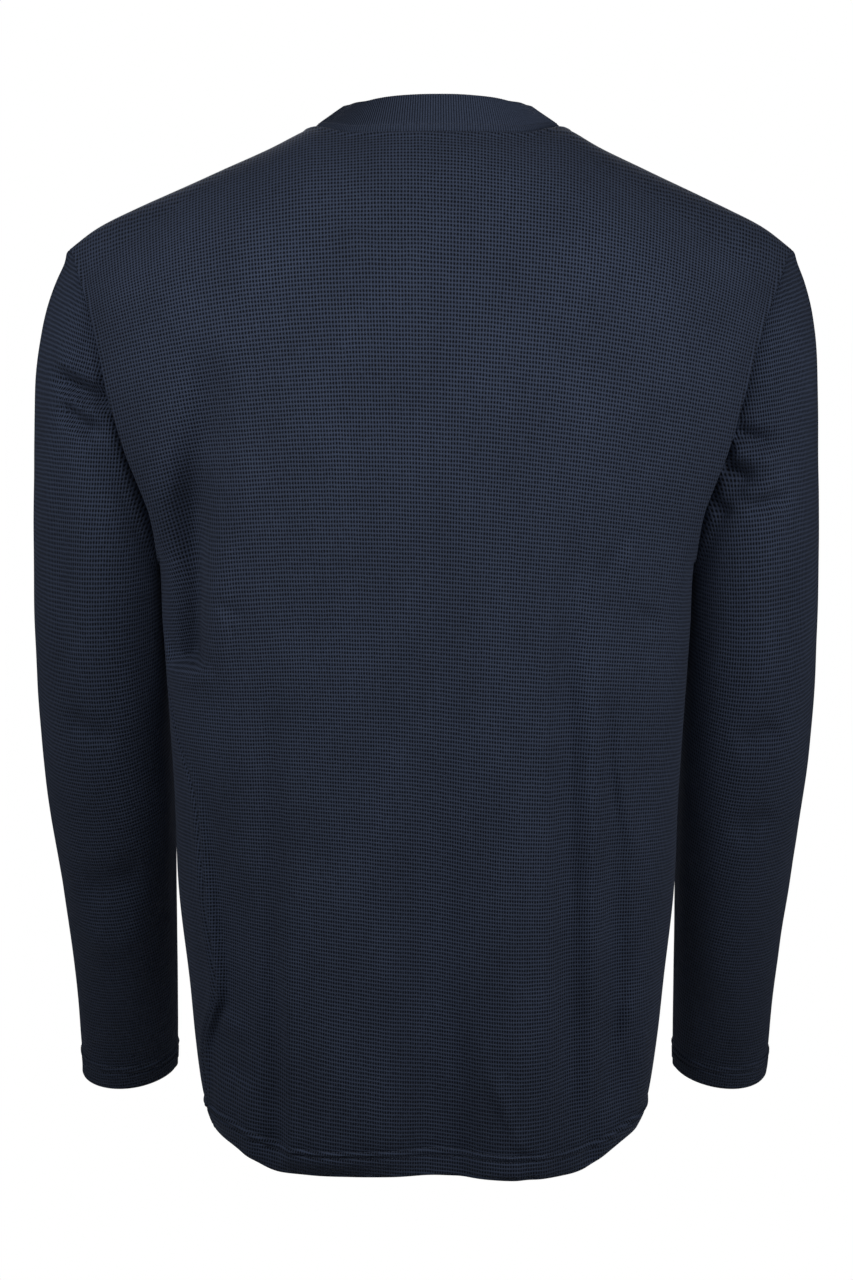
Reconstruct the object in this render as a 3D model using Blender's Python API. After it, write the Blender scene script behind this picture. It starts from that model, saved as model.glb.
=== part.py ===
"""A long-sleeved thermal top in waffle knit, filled out as it is worn, with nobody in it.

Metres, +Z up. +X is the wearer's left, +Y is behind the wearer, and the origin is midway between
the two high shoulder points, where the neckband meets the shoulder seams. Five pieces are cut and
sewn: back, front, two sleeves and a rib neckband. Each is a closed wall of cloth, and the pieces
stop SEAM_GAP apart where they are seamed.
"""

import bisect
import math

import bmesh
import bpy
from mathutils import Vector

# ---- driving sizes --------------------------------------------------------------------------
CLOTH = 0.0018  # thickness of the waffle knit
BAND_CLOTH = 0.0026  # the neckband is rib, folded double
BAND_HEIGHT = 0.025
SEAM_GAP = 0.0003
RIDGE_Y = -0.005  # the shoulder seam runs just in front of the top of the shoulder
NECK_Z = 0.0
TIP_Z = -0.087  # shoulder tip, where shoulder seam and armhole meet
UNDERARM_Z = -0.312
ARMHOLE_HALF_WIDTH = 0.046
SHARP_EDGE_DEGREES = 50

# ---- how finely each piece is divided -------------------------------------------------------
ACROSS = 22  # squares across the back, and across the front
SIDE_ROWS = 12  # from hem to underarm
ARMHOLE_ROWS = 10  # from underarm to shoulder tip, which is half of the way round a sleeve
SHOULDER_ROWS = 6  # from shoulder tip to neck
BAND_ROWS = 3
SIDE_CROWDING = 0.45  # how much closer the side rows are at hem and underarm than between
ARMHOLE_EVENING = 0.2  # takes the armhole's points from even angles to nearly even distances
SHOULDER_GRADING = 1.25  # makes the shoulder rows closer together towards the shoulder tip
HALVINGS = 40  # steps of each search by halving
SEARCH_DEGREES = 60.0  # how far round from the side the armhole's edge is looked for
FINE_STEPS = 240  # how finely a girth is measured before it is divided evenly

# The top of the shoulder, where the shoulder seam runs: how high it is at each distance from
# the middle. Inside the neck it is only the height that the cloth would reach.
SHOULDER_COLUMNS = ("x", "z")
SHOULDER_LINE = (
    (0.0000, 0.0147),
    (0.0120, 0.0145),
    (0.0400, 0.0103),
    (0.0650, 0.0037),
    (0.0800, 0.0009),
    (0.0906, -0.0005),
    (0.1216, -0.0166),
    (0.1537, -0.0313),
    (0.1843, -0.0453),
    (0.2130, -0.0585),
    (0.2395, -0.0720),
    (0.2600, TIP_Z),
)
# Between the shoulder line and the level where the body is at its full depth, the cloth curves
# over: that level, and how squarely it curves, behind and in front.
CURVE_BEHIND = {"level": -0.200, "square": 2.5}
CURVE_BEFORE = {"level": -0.260, "square": 1.6}

# Sections of the body, from the neck down. Each row is one girth: the height of its sides, half
# width, full depth behind and in front of the side seams, how far its middle hangs below its
# sides behind and in front, how gradually it falls away from the sides in front (0.5 is round
# like a neckline, 1 is shallow), squareness (2 is an ellipse), and its lean to the wearer's right.
BODY_COLUMNS = (
    "z", "half", "behind", "before", "drop_behind", "drop_before", "fall", "square", "lean",
)
BODY_SECTIONS = (
    (0.000, 0.2690, 0.1280, 0.1220, 0.0057, 0.0850, 0.50, 2.12, 0.0080),
    (-0.016, 0.2690, 0.1280, 0.1220, 0.0035, 0.0830, 0.56, 2.16, 0.0068),
    (-0.044, 0.2680, 0.1280, 0.1225, 0.0020, 0.0760, 0.72, 2.23, 0.0048),
    (-0.072, 0.2650, 0.1280, 0.1230, 0.0010, 0.0640, 0.90, 2.30, 0.0032),
    (-0.087, 0.2622, 0.1280, 0.1230, 0.0008, 0.0570, 1.00, 2.33, 0.0030),
    (-0.100, 0.2585, 0.1280, 0.1230, 0.0005, 0.0510, 1.05, 2.36, 0.0027),
    (-0.130, 0.2496, 0.1280, 0.1235, 0.0000, 0.0400, 1.10, 2.40, 0.0018),
    (-0.160, 0.2420, 0.1280, 0.1240, 0.0000, 0.0300, 1.10, 2.45, 0.0008),
    (-0.190, 0.2356, 0.1280, 0.1245, 0.0000, 0.0220, 1.10, 2.50, 0.0000),
    (-0.230, 0.2240, 0.1280, 0.1250, 0.0000, 0.0130, 1.10, 2.50, 0.0000),
    (-0.255, 0.2135, 0.1275, 0.1255, 0.0000, 0.0090, 1.10, 2.50, 0.0000),
    (-0.280, 0.2025, 0.1265, 0.1255, 0.0000, 0.0060, 1.10, 2.50, 0.0000),
    (-0.312, 0.1935, 0.1250, 0.1250, 0.0000, 0.0030, 1.10, 2.50, 0.0000),
    (-0.360, 0.1908, 0.1225, 0.1235, 0.0000, 0.0000, 1.00, 2.50, 0.0000),
    (-0.420, 0.1868, 0.1200, 0.1215, 0.0000, 0.0000, 1.00, 2.50, 0.0000),
    (-0.480, 0.1834, 0.1185, 0.1195, 0.0000, 0.0000, 1.00, 2.55, 0.0000),
    (-0.548, 0.1810, 0.1180, 0.1180, 0.0000, 0.0000, 1.00, 2.60, 0.0000),
    (-0.615, 0.1732, 0.1195, 0.1170, 0.0020, 0.0005, 1.00, 2.65, 0.0000),
    (-0.660, 0.1688, 0.1210, 0.1160, 0.0065, 0.0020, 1.00, 2.70, 0.0000),
    (-0.695, 0.1640, 0.1215, 0.1150, 0.0125, 0.0035, 1.00, 2.70, 0.0000),
    (-0.710, 0.1597, 0.1210, 0.1140, 0.0160, 0.0045, 1.00, 2.70, 0.0000),
    (-0.720, 0.1552, 0.1200, 0.1125, 0.0185, 0.0050, 1.00, 2.70, -0.0008),
)

# The back hangs level over its middle and rises towards the sides over this share of its half.
HEM_CORNER = 0.36

# Where the side seams lie below the underarm, as degrees round from the middle of the back.
# The knit has twisted a little, so the left seam shows behind and the right one has gone round.
SIDE_SEAM_COLUMNS = ("z", "left", "right")
SIDE_SEAMS = (
    (UNDERARM_Z, 90.0, 90.0),
    (-0.380, 84.0, 92.0),
    (-0.430, 73.0, 95.0),
    (-0.470, 62.0, 98.0),
    (-0.520, 58.5, 101.0),
    (-0.580, 56.5, 105.0),
    (-0.618, 57.0, 106.0),
    (-0.656, 69.0, 104.0),
    (-0.690, 72.0, 98.0),
    (-0.720, 78.0, 93.0),
)

# Rings of a sleeve, from just outside the armhole to the cuff. Each row is one ring: its point
# furthest from the body and its point nearest, the middle's place fore and aft, its half depth,
# how far the ring leans with the forearm, in degrees, and how far it has left the armhole's shape.
SLEEVE_COLUMNS = ("outer_x", "outer_z", "inner_x", "inner_z", "y", "half_depth", "bend", "own")
SLEEVE_RINGS = (
    (0.2655, -0.0990, 0.1942, -0.3145, -0.0075, 0.0480, 0.0, 0.25),
    (0.2735, -0.1150, 0.1942, -0.3180, -0.0110, 0.0515, 0.0, 0.55),
    (0.2797, -0.1360, 0.1938, -0.3230, -0.0160, 0.0560, 0.0, 0.80),
    (0.2836, -0.1650, 0.1932, -0.3300, -0.0215, 0.0600, 0.0, 0.95),
    (0.2858, -0.2030, 0.1925, -0.3390, -0.0270, 0.0630, 1.0, 1.00),
    (0.2874, -0.2480, 0.1916, -0.3510, -0.0330, 0.0650, 2.0, 1.00),
    (0.2888, -0.2980, 0.1905, -0.3690, -0.0400, 0.0655, 4.0, 1.00),
    (0.2894, -0.3450, 0.1893, -0.3950, -0.0465, 0.0645, 7.0, 1.00),
    (0.2888, -0.3880, 0.1882, -0.4230, -0.0530, 0.0620, 10.0, 1.00),
    (0.2874, -0.4300, 0.1876, -0.4550, -0.0610, 0.0590, 14.0, 1.00),
    (0.2844, -0.4730, 0.1875, -0.4920, -0.0710, 0.0555, 17.5, 1.00),
    (0.2803, -0.5170, 0.1882, -0.5310, -0.0830, 0.0515, 19.5, 1.00),
    (0.2747, -0.5620, 0.1890, -0.5720, -0.0970, 0.0470, 21.0, 1.00),
    (0.2700, -0.6080, 0.1897, -0.6130, -0.1120, 0.0420, 21.5, 1.00),
    (0.2668, -0.6530, 0.1905, -0.6540, -0.1280, 0.0370, 22.0, 1.00),
    (0.2656, -0.6900, 0.1912, -0.6880, -0.1415, 0.0335, 22.0, 1.00),
    (0.2645, -0.7180, 0.1922, -0.7110, -0.1515, 0.0315, 22.0, 1.00),
)
# How far the cuff hangs to the wearer's left of where the rings put it.
SLEEVE_SWING = {"sleeve_left": 0.0020, "sleeve_right": 0.0000}

# How far the neckband leans in from upright, in degrees, at the back, the side and the front.
BAND_LEAN = {"back": 14.0, "side": 56.0, "front": 42.0}

NAVY = (0.031, 0.040, 0.062, 1.0)
NAVY_RIB = (0.033, 0.042, 0.064, 1.0)


# ---- smooth tables --------------------------------------------------------------------------
def smooth_table(columns, rows, key=0):
    """Gives a function of one column that reads the others off smooth curves, named."""
    order = sorted(rows, key=lambda row: row[key])
    keys = [row[key] for row in order]

    def slope(index, column):
        low = max(index - 1, 0)
        high = min(index + 1, len(order) - 1)
        return (order[high][column] - order[low][column]) / (keys[high] - keys[low])

    def read(at):
        at = min(max(at, keys[0]), keys[-1])
        low = min(bisect.bisect_right(keys, at) - 1, len(keys) - 2)
        span = keys[low + 1] - keys[low]
        t = (at - keys[low]) / span
        values = {}
        for column, name in enumerate(columns):
            start = order[low][column]
            end = order[low + 1][column]
            values[name] = (
                (1 + 2 * t) * (1 - t) ** 2 * start
                + t * (1 - t) ** 2 * span * slope(low, column)
                + t * t * (3 - 2 * t) * end
                + t * t * (t - 1) * span * slope(low + 1, column)
            )
        return values

    return read


body_at = smooth_table(BODY_COLUMNS, BODY_SECTIONS)
side_seam_at = smooth_table(SIDE_SEAM_COLUMNS, SIDE_SEAMS)
shoulder_at = smooth_table(SHOULDER_COLUMNS, SHOULDER_LINE)


# ---- the body -------------------------------------------------------------------------------
def shoulder_reach(z):
    """How far from the middle the shoulder line is at height z."""
    near = SHOULDER_LINE[0][0]
    far = SHOULDER_LINE[-1][0]
    for _ in range(HALVINGS):
        middle = (near + far) / 2
        if shoulder_at(middle)["z"] > z:
            near = middle
        else:
            far = middle
    return (near + far) / 2


def curved_over(x, z, curve):
    """Share of the full depth that the cloth has at height z, below the shoulder line at x."""
    climb = (z - curve["level"]) / (shoulder_at(x)["z"] - curve["level"])
    climb = min(max(climb, 0.0), 1.0)
    return (1 - climb ** curve["square"]) ** (1 / curve["square"])


def girth_point(z, degrees):
    """A point on the girth whose sides are at height z, by its angle from the middle of the
    back: positive towards the wearer's left."""
    sides = body_at(z)
    angle = math.radians(degrees)
    power = 2 / sides["square"]
    behind = math.cos(angle) >= 0
    drop = sides["drop_behind"] if behind else sides["drop_before"]
    reach = shoulder_reach(z) if z > TIP_Z else sides["half"]
    x = reach * abs(math.sin(angle)) ** power
    if behind:
        inwards = min(1.0, (1 - x / reach) / HEM_CORNER)
        height = z - drop * inwards * inwards * (3 - 2 * inwards)
    else:
        height = z - drop * (1 - (x / reach) ** 2) ** sides["fall"]
    section = body_at(height)
    full = section["behind"] if behind else section["before"]
    widest = section["half"] if z > UNDERARM_Z else max(section["half"], reach)
    across = max(0.0, 1 - (x / widest) ** section["square"])
    depth = full * across ** (1 / section["square"])
    depth *= curved_over(x, height, CURVE_BEHIND if behind else CURVE_BEFORE)
    return Vector((
        math.copysign(x, math.sin(angle)) - sides["lean"],
        RIDGE_Y + (depth if behind else -depth),
        height,
    ))


def side_heights():
    """Heights of the girths that the panels' rows follow, from hem to neck."""
    hem_z = BODY_SECTIONS[-1][0]
    heights = []
    for row in range(SIDE_ROWS):
        share = row / SIDE_ROWS
        share -= SIDE_CROWDING * math.sin(2 * math.pi * share) / (2 * math.pi)
        heights.append(hem_z + (UNDERARM_Z - hem_z) * share)
    middle = (UNDERARM_Z + TIP_Z) / 2
    half_height = (TIP_Z - UNDERARM_Z) / 2
    for row in range(ARMHOLE_ROWS):
        turn = math.pi * row / ARMHOLE_ROWS
        turn += ARMHOLE_EVENING * math.sin(2 * turn)
        heights.append(middle - half_height * math.cos(turn))
    for row in range(SHOULDER_ROWS + 1):
        heights.append(TIP_Z + (NECK_Z - TIP_Z) * (row / SHOULDER_ROWS) ** SHOULDER_GRADING)
    return heights


def edge_angle(z, side, face):
    """Where a row of a panel ends: at the side seam, the armhole or the shoulder seam.
    side is 1 for the wearer's left and -1 for the right. face is 1 behind and -1 in front."""
    if z <= UNDERARM_Z:
        seam = side_seam_at(z)
        return seam["left"] if side > 0 else seam["right"]
    if z >= TIP_Z:
        return 90.0
    middle = (UNDERARM_Z + TIP_Z) / 2
    rise = (z - middle) / (TIP_Z - middle)
    cut = ARMHOLE_HALF_WIDTH * math.sqrt(max(0.0, 1 - rise * rise))
    near = 90.0
    far = 90.0 - SEARCH_DEGREES * face
    for _ in range(HALVINGS):
        angle = (near + far) / 2
        if face * (girth_point(z, angle).y - RIDGE_Y) < cut:
            near = angle
        else:
            far = angle
    return (near + far) / 2


def even_row(z, start, end, count):
    """count + 1 points along the girth between two angles, the same distance apart."""
    step = (end - start) / FINE_STEPS
    points = [girth_point(z, start + step * i) for i in range(FINE_STEPS + 1)]
    lengths = [0.0]
    for before, after in zip(points, points[1:]):
        lengths.append(lengths[-1] + (after - before).length)
    row = []
    for i in range(count + 1):
        want = lengths[-1] * i / count
        low = min(bisect.bisect_right(lengths, want) - 1, FINE_STEPS - 1)
        share = (want - lengths[low]) / (lengths[low + 1] - lengths[low])
        row.append(points[low].lerp(points[low + 1], share))
    return row


def panel_grid(face):
    """The outer surface of the back (face 1) or the front (face -1), a list of rows from hem
    to neck. Each row runs so that the cloth's outside is on its left, seen from above."""
    grid = []
    for z in side_heights():
        left = edge_angle(z, 1, face)
        right = edge_angle(z, -1, face)
        if face > 0:
            grid.append(even_row(z, left, -right, ACROSS))
        else:
            grid.append(even_row(z, 360.0 - right, left, ACROSS))
    return grid


# ---- walls of cloth -------------------------------------------------------------------------
def normals_of(grid, ring):
    """The outward normal at each point of a grid. A ring's rows close on themselves."""
    rows = len(grid)
    count = len(grid[0])
    normals = []
    for r in range(rows):
        line = []
        for c in range(count):
            if ring:
                along = grid[r][(c + 1) % count] - grid[r][c - 1]
            else:
                along = grid[r][min(c + 1, count - 1)] - grid[r][max(c - 1, 0)]
            up = grid[min(r + 1, rows - 1)][c] - grid[max(r - 1, 0)][c]
            line.append(along.cross(up).normalized())
        normals.append(line)
    return normals


def drawn_in(grid, ring):
    """The grid with every open edge moved half a seam gap into the piece, square to the edge."""
    moved = [list(row) for row in grid]
    count = len(grid[0])

    def draw(r, c, inwards, along):
        square_to_edge = inwards - along * (inwards.dot(along) / along.length_squared)
        moved[r][c] = moved[r][c] + square_to_edge.normalized() * SEAM_GAP / 2

    for r, inside in ((0, 1), (len(grid) - 1, len(grid) - 2)):
        for c in range(count):
            after = (c + 1) % count if ring else min(c + 1, count - 1)
            before = c - 1 if ring else max(c - 1, 0)
            draw(r, c, grid[inside][c] - grid[r][c], grid[r][after] - grid[r][before])
    if not ring:
        for r, row in enumerate(grid):
            above = grid[min(r + 1, len(grid) - 1)]
            below = grid[max(r - 1, 0)]
            draw(r, 0, row[1] - row[0], above[0] - below[0])
            draw(r, -1, row[-2] - row[-1], above[-1] - below[-1])
    return moved


def close_edge(shape, outer_a, outer_b, inner_a, inner_b):
    """Two triangles across the thickness. Pieces that meet at a seam are split the same way:
    the diagonal leaves the outer corner that is lower."""
    if outer_a.co.z < outer_b.co.z:
        shape.faces.new((outer_a, outer_b, inner_b))
        shape.faces.new((outer_a, inner_b, inner_a))
    else:
        shape.faces.new((outer_a, outer_b, inner_a))
        shape.faces.new((outer_b, inner_b, inner_a))


def cloth_wall(name, grid, normals, thickness, ring, colour):
    """A closed wall of cloth between a grid of points and the same points moved inwards."""
    mesh = bpy.data.meshes.new(name)
    shape = bmesh.new()
    outer = [[shape.verts.new(point) for point in row] for row in grid]
    inner = []
    for points, outward in zip(grid, normals):
        inner.append([shape.verts.new(p - n * thickness) for p, n in zip(points, outward)])
    rows = len(grid)
    count = len(grid[0])
    steps = count if ring else count - 1
    for r in range(rows - 1):
        for c in range(steps):
            d = (c + 1) % count
            shape.faces.new((outer[r][c], outer[r][d], outer[r + 1][d], outer[r + 1][c]))
            shape.faces.new((inner[r][d], inner[r][c], inner[r + 1][c], inner[r + 1][d]))
    for c in range(steps):
        d = (c + 1) % count
        close_edge(shape, outer[0][d], outer[0][c], inner[0][d], inner[0][c])
        close_edge(shape, outer[-1][c], outer[-1][d], inner[-1][c], inner[-1][d])
    if not ring:
        for r in range(rows - 1):
            close_edge(shape, outer[r][0], outer[r + 1][0], inner[r][0], inner[r + 1][0])
            close_edge(shape, outer[r + 1][-1], outer[r][-1], inner[r + 1][-1], inner[r][-1])
    bmesh.ops.triangulate(shape, faces=shape.faces[:])
    bmesh.ops.recalc_face_normals(shape, faces=shape.faces[:])
    shape.to_mesh(mesh)
    shape.free()
    mesh.shade_smooth()
    mesh.set_sharp_from_angle(angle=math.radians(SHARP_EDGE_DEGREES))
    mesh.materials.append(cloth_material(name + "_knit", colour))
    piece = bpy.data.objects.new(name, mesh)
    top_collection.objects.link(piece)
    return piece


def cloth_material(name, colour):
    material = bpy.data.materials.new(name)
    material.use_nodes = True
    shader = material.node_tree.nodes["Principled BSDF"]
    shader.inputs["Base Color"].default_value = colour
    shader.inputs["Roughness"].default_value = 0.9
    shader.inputs["Metallic"].default_value = 0.0
    return material


# ---- sleeves --------------------------------------------------------------------------------
def armhole_ring(back, front, side):
    """The armhole's points from the shoulder tip down the back edge to the underarm and up the
    front edge, each as a panel's grid, row and column."""
    back_column = 0 if side > 0 else ACROSS
    front_column = ACROSS - back_column
    tip_row = SIDE_ROWS + ARMHOLE_ROWS
    places = [(back, row, back_column) for row in range(tip_row, SIDE_ROWS - 1, -1)]
    places += [(front, row, front_column) for row in range(SIDE_ROWS + 1, tip_row)]
    return places


def sleeve_grid(armhole, side, swing):
    """Rings of a sleeve from cuff to armhole, each starting at its outermost point."""
    count = len(armhole)
    rings = []
    for index, values in enumerate(SLEEVE_RINGS):
        ring = dict(zip(SLEEVE_COLUMNS, values))
        lean = body_at(ring["outer_z"])["lean"]
        swung = swing * (index / (len(SLEEVE_RINGS) - 1)) ** 2
        outer = Vector((side * ring["outer_x"] - lean + swung, ring["y"], ring["outer_z"]))
        inner = Vector((side * ring["inner_x"] + swung, ring["y"], ring["inner_z"]))
        middle = (outer + inner) / 2
        bend = math.radians(ring["bend"])
        depth = Vector((0, math.cos(bend), -math.sin(bend))) * ring["half_depth"]
        points = []
        for i in range(count):
            angle = 2 * math.pi * i / count
            own = middle + (outer - middle) * math.cos(angle) + depth * math.sin(angle)
            start = armhole[0].lerp(armhole[count // 2], 0.5)
            moved = armhole[i] - start + middle
            points.append(moved.lerp(own, ring["own"]))
        rings.append(points)
    rings.reverse()
    rings.append(list(armhole))
    if side < 0:
        rings = [[row[0]] + row[:0:-1] for row in rings]
    return rings


# ---- neckband -------------------------------------------------------------------------------
def band_grid(seam):
    """Rings of the neckband from its seam to its free edge. seam starts at the wearer's left
    high shoulder point and goes round the back first."""
    count = len(seam)
    rings = []
    for r in range(BAND_ROWS + 1):
        climb = BAND_HEIGHT * r / BAND_ROWS
        points = []
        for i, foot in enumerate(seam):
            turn = 2 * math.pi * i / count
            end = BAND_LEAN["back"] if math.sin(turn) > 0 else BAND_LEAN["front"]
            to_side = abs(math.cos(turn)) ** 3
            lean = math.radians(end + (BAND_LEAN["side"] - end) * to_side)
            inwards = Vector((-foot.x - body_at(NECK_Z)["lean"], RIDGE_Y - foot.y, 0)).normalized()
            points.append(foot + (inwards * math.sin(lean) + Vector((0, 0, math.cos(lean)))) * climb)
        rings.append(points)
    return rings


# ---- put together ---------------------------------------------------------------------------
for leftover in list(bpy.data.objects):
    bpy.data.objects.remove(leftover, do_unlink=True)
top_collection = bpy.data.collections.new("thermal_top")
bpy.context.scene.collection.children.link(top_collection)

back_grid = panel_grid(1)
front_grid = panel_grid(-1)
back_normals = normals_of(back_grid, False)
front_normals = normals_of(front_grid, False)
underarm_row = SIDE_ROWS
tip_row = SIDE_ROWS + ARMHOLE_ROWS
neck_row = tip_row + SHOULDER_ROWS

# Back and front share one normal at each point of their side and shoulder seams.
for row in list(range(underarm_row + 1)) + list(range(tip_row, neck_row + 1)):
    for column in (0, ACROSS):
        other = ACROSS - column
        shared = (back_normals[row][column] + front_normals[row][other]).normalized()
        back_normals[row][column] = shared
        front_normals[row][other] = shared

sleeves = {}
for side, name in ((1, "sleeve_left"), (-1, "sleeve_right")):
    places = armhole_ring(back_grid, front_grid, side)
    armhole = [grid[row][column] for grid, row, column in places]
    rings = sleeve_grid(armhole, side, SLEEVE_SWING[name])
    normals = normals_of(rings, True)
    order = list(range(len(places)))
    if side < 0:
        order = [0] + order[:0:-1]
    for index, place in enumerate(order):
        grid, row, column = places[place]
        panel_normals = back_normals if grid is back_grid else front_normals
        shared = (panel_normals[row][column] + normals[-1][index]).normalized()
        normals[-1][index] = shared
        panel_normals[row][column] = shared
        if place in (0, ARMHOLE_ROWS):
            front_normals[row][ACROSS - column] = shared
    sleeves[name] = (rings, normals)

# The neck seam starts at the wearer's left and goes round the back, then the front.
neck_places = [(back_grid, column) for column in range(ACROSS)]
neck_places += [(front_grid, column) for column in range(ACROSS)]
neck_seam = [grid[neck_row][column] for grid, column in neck_places]
band_rings = band_grid(neck_seam)
band_normals = normals_of(band_rings, True)
for index, (grid, column) in enumerate(neck_places):
    panel_normals = back_normals if grid is back_grid else front_normals
    shared = (panel_normals[neck_row][column] + band_normals[0][index]).normalized()
    band_normals[0][index] = shared
    panel_normals[neck_row][column] = shared
    if column == 0:
        other = front_normals if grid is back_grid else back_normals
        other[neck_row][ACROSS] = shared

cloth_wall("back", drawn_in(back_grid, False), back_normals, CLOTH, False, NAVY)
cloth_wall("front", drawn_in(front_grid, False), front_normals, CLOTH, False, NAVY)
for name, (rings, normals) in sleeves.items():
    cloth_wall(name, drawn_in(rings, True), normals, CLOTH, True, NAVY)
cloth_wall("neckband", drawn_in(band_rings, True), band_normals, BAND_CLOTH, True, NAVY_RIB)
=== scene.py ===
"""The looks of a long-sleeved thermal top in navy waffle knit, filled out as it is worn.

Metres, +Z up. +X is the wearer's left, +Y is behind the wearer, and the origin is midway between
the high shoulder points. The plain forms of back and front, sleeves and neckband come first,
because pieces share their directions at the seams. Then each gets its cloth and its topstitching,
and last come the floor, the lights and the camera.
"""

import math

import bpy
import numpy as np
from mathutils import Matrix, Vector, noise


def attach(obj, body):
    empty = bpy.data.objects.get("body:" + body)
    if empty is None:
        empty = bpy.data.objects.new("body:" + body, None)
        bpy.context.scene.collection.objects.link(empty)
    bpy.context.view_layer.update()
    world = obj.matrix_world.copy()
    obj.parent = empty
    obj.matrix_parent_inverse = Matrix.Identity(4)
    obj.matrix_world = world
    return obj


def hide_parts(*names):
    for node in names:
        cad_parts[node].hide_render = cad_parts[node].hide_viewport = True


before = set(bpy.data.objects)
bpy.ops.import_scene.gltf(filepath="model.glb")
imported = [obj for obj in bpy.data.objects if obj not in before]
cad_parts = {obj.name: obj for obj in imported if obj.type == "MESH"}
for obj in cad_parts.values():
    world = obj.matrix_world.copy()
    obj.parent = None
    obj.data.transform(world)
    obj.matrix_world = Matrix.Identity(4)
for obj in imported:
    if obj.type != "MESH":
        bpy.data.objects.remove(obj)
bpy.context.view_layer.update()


# ==== Back and front: their form =================================================================
# Two panels of waffle knit, cut in one piece each from hem to shoulder seams and sewn to each
# other at the sides and the shoulders. The lower edge is turned up 20 mm and topstitched.
CLOTH = 0.0018  # its thickness
RIDGE_Y = -0.005  # the shoulder seam runs just in front of the top of the shoulder
NECK_Z = 0.0
TIP_Z = -0.087  # shoulder tip, where shoulder seam and armhole meet
UNDERARM_Z = -0.312
HEM_Z = -0.720
ARMHOLE_HALF_WIDTH = 0.046
SEAM_GAP = 0.00016  # between two pieces at a seam

# The top of the shoulder: how high it is at each distance from the middle.
SHOULDER_COLUMNS = ("x", "z")
SHOULDER_LINE = (
    (0.0000, 0.0147),
    (0.0120, 0.0145),
    (0.0400, 0.0103),
    (0.0650, 0.0037),
    (0.0800, 0.0009),
    (0.0906, -0.0005),
    (0.1216, -0.0166),
    (0.1537, -0.0313),
    (0.1843, -0.0453),
    (0.2130, -0.0585),
    (0.2395, -0.0720),
    (0.2600, TIP_Z),
)
# Between the shoulder line and this level the cloth curves over, this squarely.
CURVE_BEHIND = {"level": -0.200, "square": 2.5}
CURVE_BEFORE = {"level": -0.260, "square": 1.6}

# Girths of the body, from the neck down: the height of the sides, half width, depth behind and in
# front, how far the middle hangs below the sides, how gradually, squareness, and lean to the right.
BODY_COLUMNS = (
    "z", "half", "behind", "before", "drop_behind", "drop_before", "fall", "square", "lean",
)
BODY_SECTIONS = (
    (0.000, 0.2690, 0.1280, 0.1220, 0.0057, 0.0850, 0.50, 2.12, 0.0080),
    (-0.016, 0.2690, 0.1280, 0.1220, 0.0035, 0.0830, 0.56, 2.16, 0.0068),
    (-0.044, 0.2680, 0.1280, 0.1225, 0.0020, 0.0760, 0.72, 2.23, 0.0048),
    (-0.072, 0.2650, 0.1280, 0.1230, 0.0010, 0.0640, 0.90, 2.30, 0.0032),
    (-0.087, 0.2622, 0.1280, 0.1230, 0.0008, 0.0570, 1.00, 2.33, 0.0030),
    (-0.100, 0.2585, 0.1280, 0.1230, 0.0005, 0.0510, 1.05, 2.36, 0.0027),
    (-0.130, 0.2496, 0.1280, 0.1235, 0.0000, 0.0400, 1.10, 2.40, 0.0018),
    (-0.160, 0.2420, 0.1280, 0.1240, 0.0000, 0.0300, 1.10, 2.45, 0.0008),
    (-0.190, 0.2356, 0.1280, 0.1245, 0.0000, 0.0220, 1.10, 2.50, 0.0000),
    (-0.230, 0.2240, 0.1280, 0.1250, 0.0000, 0.0130, 1.10, 2.50, 0.0000),
    (-0.255, 0.2135, 0.1275, 0.1255, 0.0000, 0.0090, 1.10, 2.50, 0.0000),
    (-0.280, 0.2025, 0.1265, 0.1255, 0.0000, 0.0060, 1.10, 2.50, 0.0000),
    (-0.312, 0.1935, 0.1250, 0.1250, 0.0000, 0.0030, 1.10, 2.50, 0.0000),
    (-0.360, 0.1908, 0.1225, 0.1235, 0.0000, 0.0000, 1.00, 2.50, 0.0000),
    (-0.420, 0.1868, 0.1200, 0.1215, 0.0000, 0.0000, 1.00, 2.50, 0.0000),
    (-0.480, 0.1834, 0.1185, 0.1195, 0.0000, 0.0000, 1.00, 2.55, 0.0000),
    (-0.548, 0.1810, 0.1180, 0.1180, 0.0000, 0.0000, 1.00, 2.60, 0.0000),
    (-0.615, 0.1732, 0.1195, 0.1170, 0.0020, 0.0005, 1.00, 2.65, 0.0000),
    (-0.660, 0.1688, 0.1210, 0.1160, 0.0065, 0.0020, 1.00, 2.70, 0.0000),
    (-0.695, 0.1640, 0.1215, 0.1150, 0.0125, 0.0035, 1.00, 2.70, 0.0000),
    (-0.710, 0.1597, 0.1210, 0.1140, 0.0160, 0.0045, 1.00, 2.70, 0.0000),
    (HEM_Z, 0.1552, 0.1200, 0.1125, 0.0185, 0.0050, 1.00, 2.70, -0.0008),
)
HEM_CORNER = 0.36  # share of the half width over which the back hem rises to the side

# The side seams below the underarm, as degrees round from the middle of the back.
SIDE_SEAM_COLUMNS = ("z", "left", "right")
SIDE_SEAMS = (
    (UNDERARM_Z, 90.0, 90.0),
    (-0.380, 84.0, 92.0),
    (-0.430, 73.0, 95.0),
    (-0.470, 62.0, 98.0),
    (-0.520, 58.5, 101.0),
    (-0.580, 56.5, 105.0),
    (-0.618, 57.0, 106.0),
    (-0.656, 69.0, 104.0),
    (-0.690, 72.0, 98.0),
    (HEM_Z, 78.0, 93.0),
)


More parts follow.
